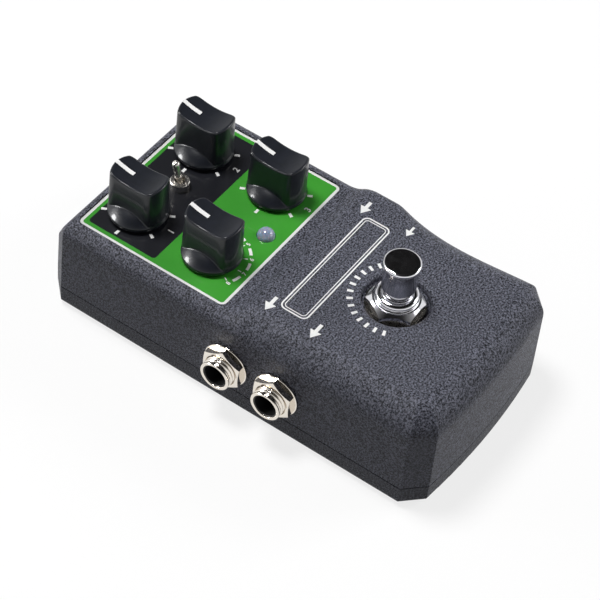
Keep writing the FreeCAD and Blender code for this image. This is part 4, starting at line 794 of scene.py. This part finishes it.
# %% Nuts
def hexagon_nut(flats, bore, height, turn=0.0, per_side=10, slope=0.5, start=0.485):
    """Rings from the bore's foot round the outside to its top. The outside's upper edge lies where a
    cone of the given slope, starting at a share of the width over flats, meets the hexagon."""
    bearing = angles(6 * per_side)
    reach = flats / 2 / np.cos((bearing % (np.pi / 3)) - np.pi / 6)
    start_at = flats * start
    drop = np.maximum(reach - start_at, 0) * slope
    rest = np.minimum(reach, start_at)
    around = bearing + turn
    ring = lambda r, z: np.stack([r * np.cos(around), r * np.sin(around), z + 0 * bearing], axis=-1)
    rows = [ring(bore + 0 * reach, 0.0), ring(rest, 0.0), ring(reach, 0.0), ring(reach, height - drop),
            ring(rest, height), ring(bore + 0.25 + 0 * reach, height), ring(bore + 0 * reach, height - 0.2)]
    return rings(np.stack(rows), closed=True)


nuts, washers = [], []
wall_face, washer_height = 31.55, 0.6
brim = [(6.45 + 0.2 * np.cos(a), 0.34 + 0.26 * np.sin(a)) for a in np.linspace(-1.2, 1.5, 8)]
washer = [(4.6, 0.0), (6.4, 0.0), *brim, (6.3, washer_height), (4.6, washer_height)]
for axis, y in jacks.values():
    side = 1 if axis == "X" else -1
    points, faces = hexagon_nut(flats=11.0, bore=4.55, height=2.2, turn=np.pi / 6)
    nuts.append((place(points, (side * (wall_face + washer_height), y, jack_height), axis), faces))
    points, faces = rings(lathe(washer), closed=True)
    washers.append((place(points, (side * wall_face, y, jack_height), axis), faces))
piece("jack_hex_nuts", nuts, "case", nickel, ["jack_nuts"], 25)
piece("jack_round_washers", washers, "case", nickel, ["jack_washers"], 30)
points, faces = hexagon_nut(flats=14.0, bore=6.05, height=2.8, slope=0.95, start=0.46)
piece("footswitch_hex_nut", [(place(points, (*switch, 32.4)), faces)], "case", chrome,
      ["footswitch_nut"], 25)

# %% [markdown]
# ## The lamp
#
# The lamp is cast in clear epoxy with a milky filler, so light goes in and comes back grey and soft.
# Real volume scattering would be slow for 5 mm of resin, and a little subsurface light looks the same.

# %% Lamp
# cloudy and blue-grey, with a sharp highlight on its smooth dome
epoxy, tree, shader, coordinates = start("cast_diffused_epoxy", "#8d9ab4", Roughness=0.1, IOR=1.54,
                                         Subsurface_Weight=0.4, Subsurface_Scale=0.002, Coat_Weight=0.5)
depth = add(tree, "TexNoise", {"Vector": coordinates, "Scale": 1 / (2.5 * mm), "Detail": 1.0})
tint = add(tree, "Mix", {0: depth.outputs["Fac"], 6: srgb("#8490aa"), 7: srgb("#a4b0c8")}, data_type="RGBA")
tree.links.new(tint.outputs[2], shader.inputs["Base Color"])
dress(epoxy, "led_lamp")

# %% [markdown]
# ## Small parts
#
# Rubber feet, black screws, moulded jack bodies, the boards and what stands on them are mostly hidden,
# but each still has its own finish: a base colour with a little drift, and a grain of its real size.

# %% Small parts
def finish(name, dark, light, grain, roughness, lift, metallic=0.0):
    """A finish whose colour and height drift with a noise. Its grain and its lift are in millimetres."""
    material, tree, shader, coordinates = start(name, dark, Roughness=roughness, Metallic=metallic)
    noise = add(tree, "TexNoise", {"Vector": coordinates, "Scale": 1 / (grain * mm), "Detail": 3.0})
    mix = add(tree, "Mix", {0: noise.outputs["Fac"], 6: srgb(dark), 7: srgb(light)}, data_type="RGBA")
    tree.links.new(mix.outputs[2], shader.inputs["Base Color"])
    bump = add(tree, "Bump", {"Height": noise.outputs["Fac"], "Strength": 0.3, "Distance": lift * mm})
    tree.links.new(bump.outputs[0], shader.inputs["Normal"])
    return material


# matte, grey-black, slightly grainy
dress(finish("moulded_rubber", "#17171a", "#232326", 0.5, 0.8, 0.05), "rubber_feet")
# near black, with a low metallic sheen
dress(finish("black_oxide_steel", "#141416", "#26262a", 0.8, 0.35, 0.02, 0.8), "base_screws", "board_screws")
# black and dull
nylon = finish("moulded_black_nylon", "#0c0c0e", "#151517", 0.6, 0.55, 0.03)
piece("jack_linings", linings, "case", nylon)
dress(nylon, "dc_inlet_body", "led_spacer", "board_header", *["jack_body_" + corner for corner in jacks])
# deep blue, half gloss
dress(finish("moulded_blue_nylon", "#12204a", "#1b2c5e", 0.8, 0.4, 0.03), "footswitch_body")
# pale grey metal, a little cloudy
zinc = finish("stamped_zinc_plated_steel", "#8d8f92", "#b4b6b8", 0.9, 0.35, 0.02, 1.0)
dress(zinc, *["pot_body_" + corner for corner in knobs])
# bright, nearly white metal
dress(finish("turned_aluminium", "#b8b9bc", "#d0d1d3", 0.3, 0.3, 0.01, 1.0),
      *["pot_shaft_" + corner for corner in knobs], "filter_capacitors")
# soft silver
dress(finish("tinned_copper", "#a9a9a6", "#cfcfcb", 0.5, 0.25, 0.01, 1.0), "dc_inlet_pin", "footswitch_pins",
      "led_leads")
# yellow metal with a soft shine
dress(finish("sprung_brass_strip", "#b08d3e", "#c9a85a", 0.6, 0.25, 0.01, 1.0),
      *["jack_contact_" + corner for corner in jacks])
# dark green, half gloss
dress(finish("glass_epoxy_laminate", "#0c3a1c", "#15502a", 0.4, 0.4, 0.02), "main_board", "control_board")
# flat black
dress(finish("moulded_chip_epoxy", "#131315", "#1e1e21", 0.3, 0.6, 0.02), "processor_chip", "converter_chip")

# %% [markdown]
# ## The return spring
#
# Under the button sits a coil of steel wire. The CAD has a plain sleeve in its place, and a screw
# modifier could wind a circle, but a tube along a helix is one formula.

# %% Return spring
def coil(reach, wire, low, high, turns, per_turn=24, around=10):
    """Rings of a wire wound on a helix: each ring stands on the helix, with one side along its radius and
    one down. The end turns lie flat, because the climb follows a curve that starts and ends level."""
    share = np.linspace(0, 1, turns * per_turn + 1)
    bearing = 2 * np.pi * turns * share
    climb = 3 * share ** 2 - 2 * share ** 3
    middle = low + wire + (high - low - 2 * wire) * climb
    side = angles(around)
    out = (reach - wire) + wire * np.cos(side)[None, :] + 0 * bearing[:, None]
    return np.stack([out * np.cos(bearing)[:, None], out * np.sin(bearing)[:, None],
                     middle[:, None] - wire * np.sin(side)[None, :]], axis=-1)


seat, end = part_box("footswitch_spring")
seat_z, end_z = seat[2] / mm, end[2] / mm
coil_reach = (end[0] - seat[0]) / 2 / mm
wire, gap, turns, travel = 0.3, 0.02, 5, 2.0
points, faces = rings(coil(coil_reach, wire, seat_z + gap, end_z - gap, turns))
spring = piece("return_spring", [(place(points, (*switch, 0)), faces)], "case", zinc,
               ["footswitch_spring"], 60)
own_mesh(spring)
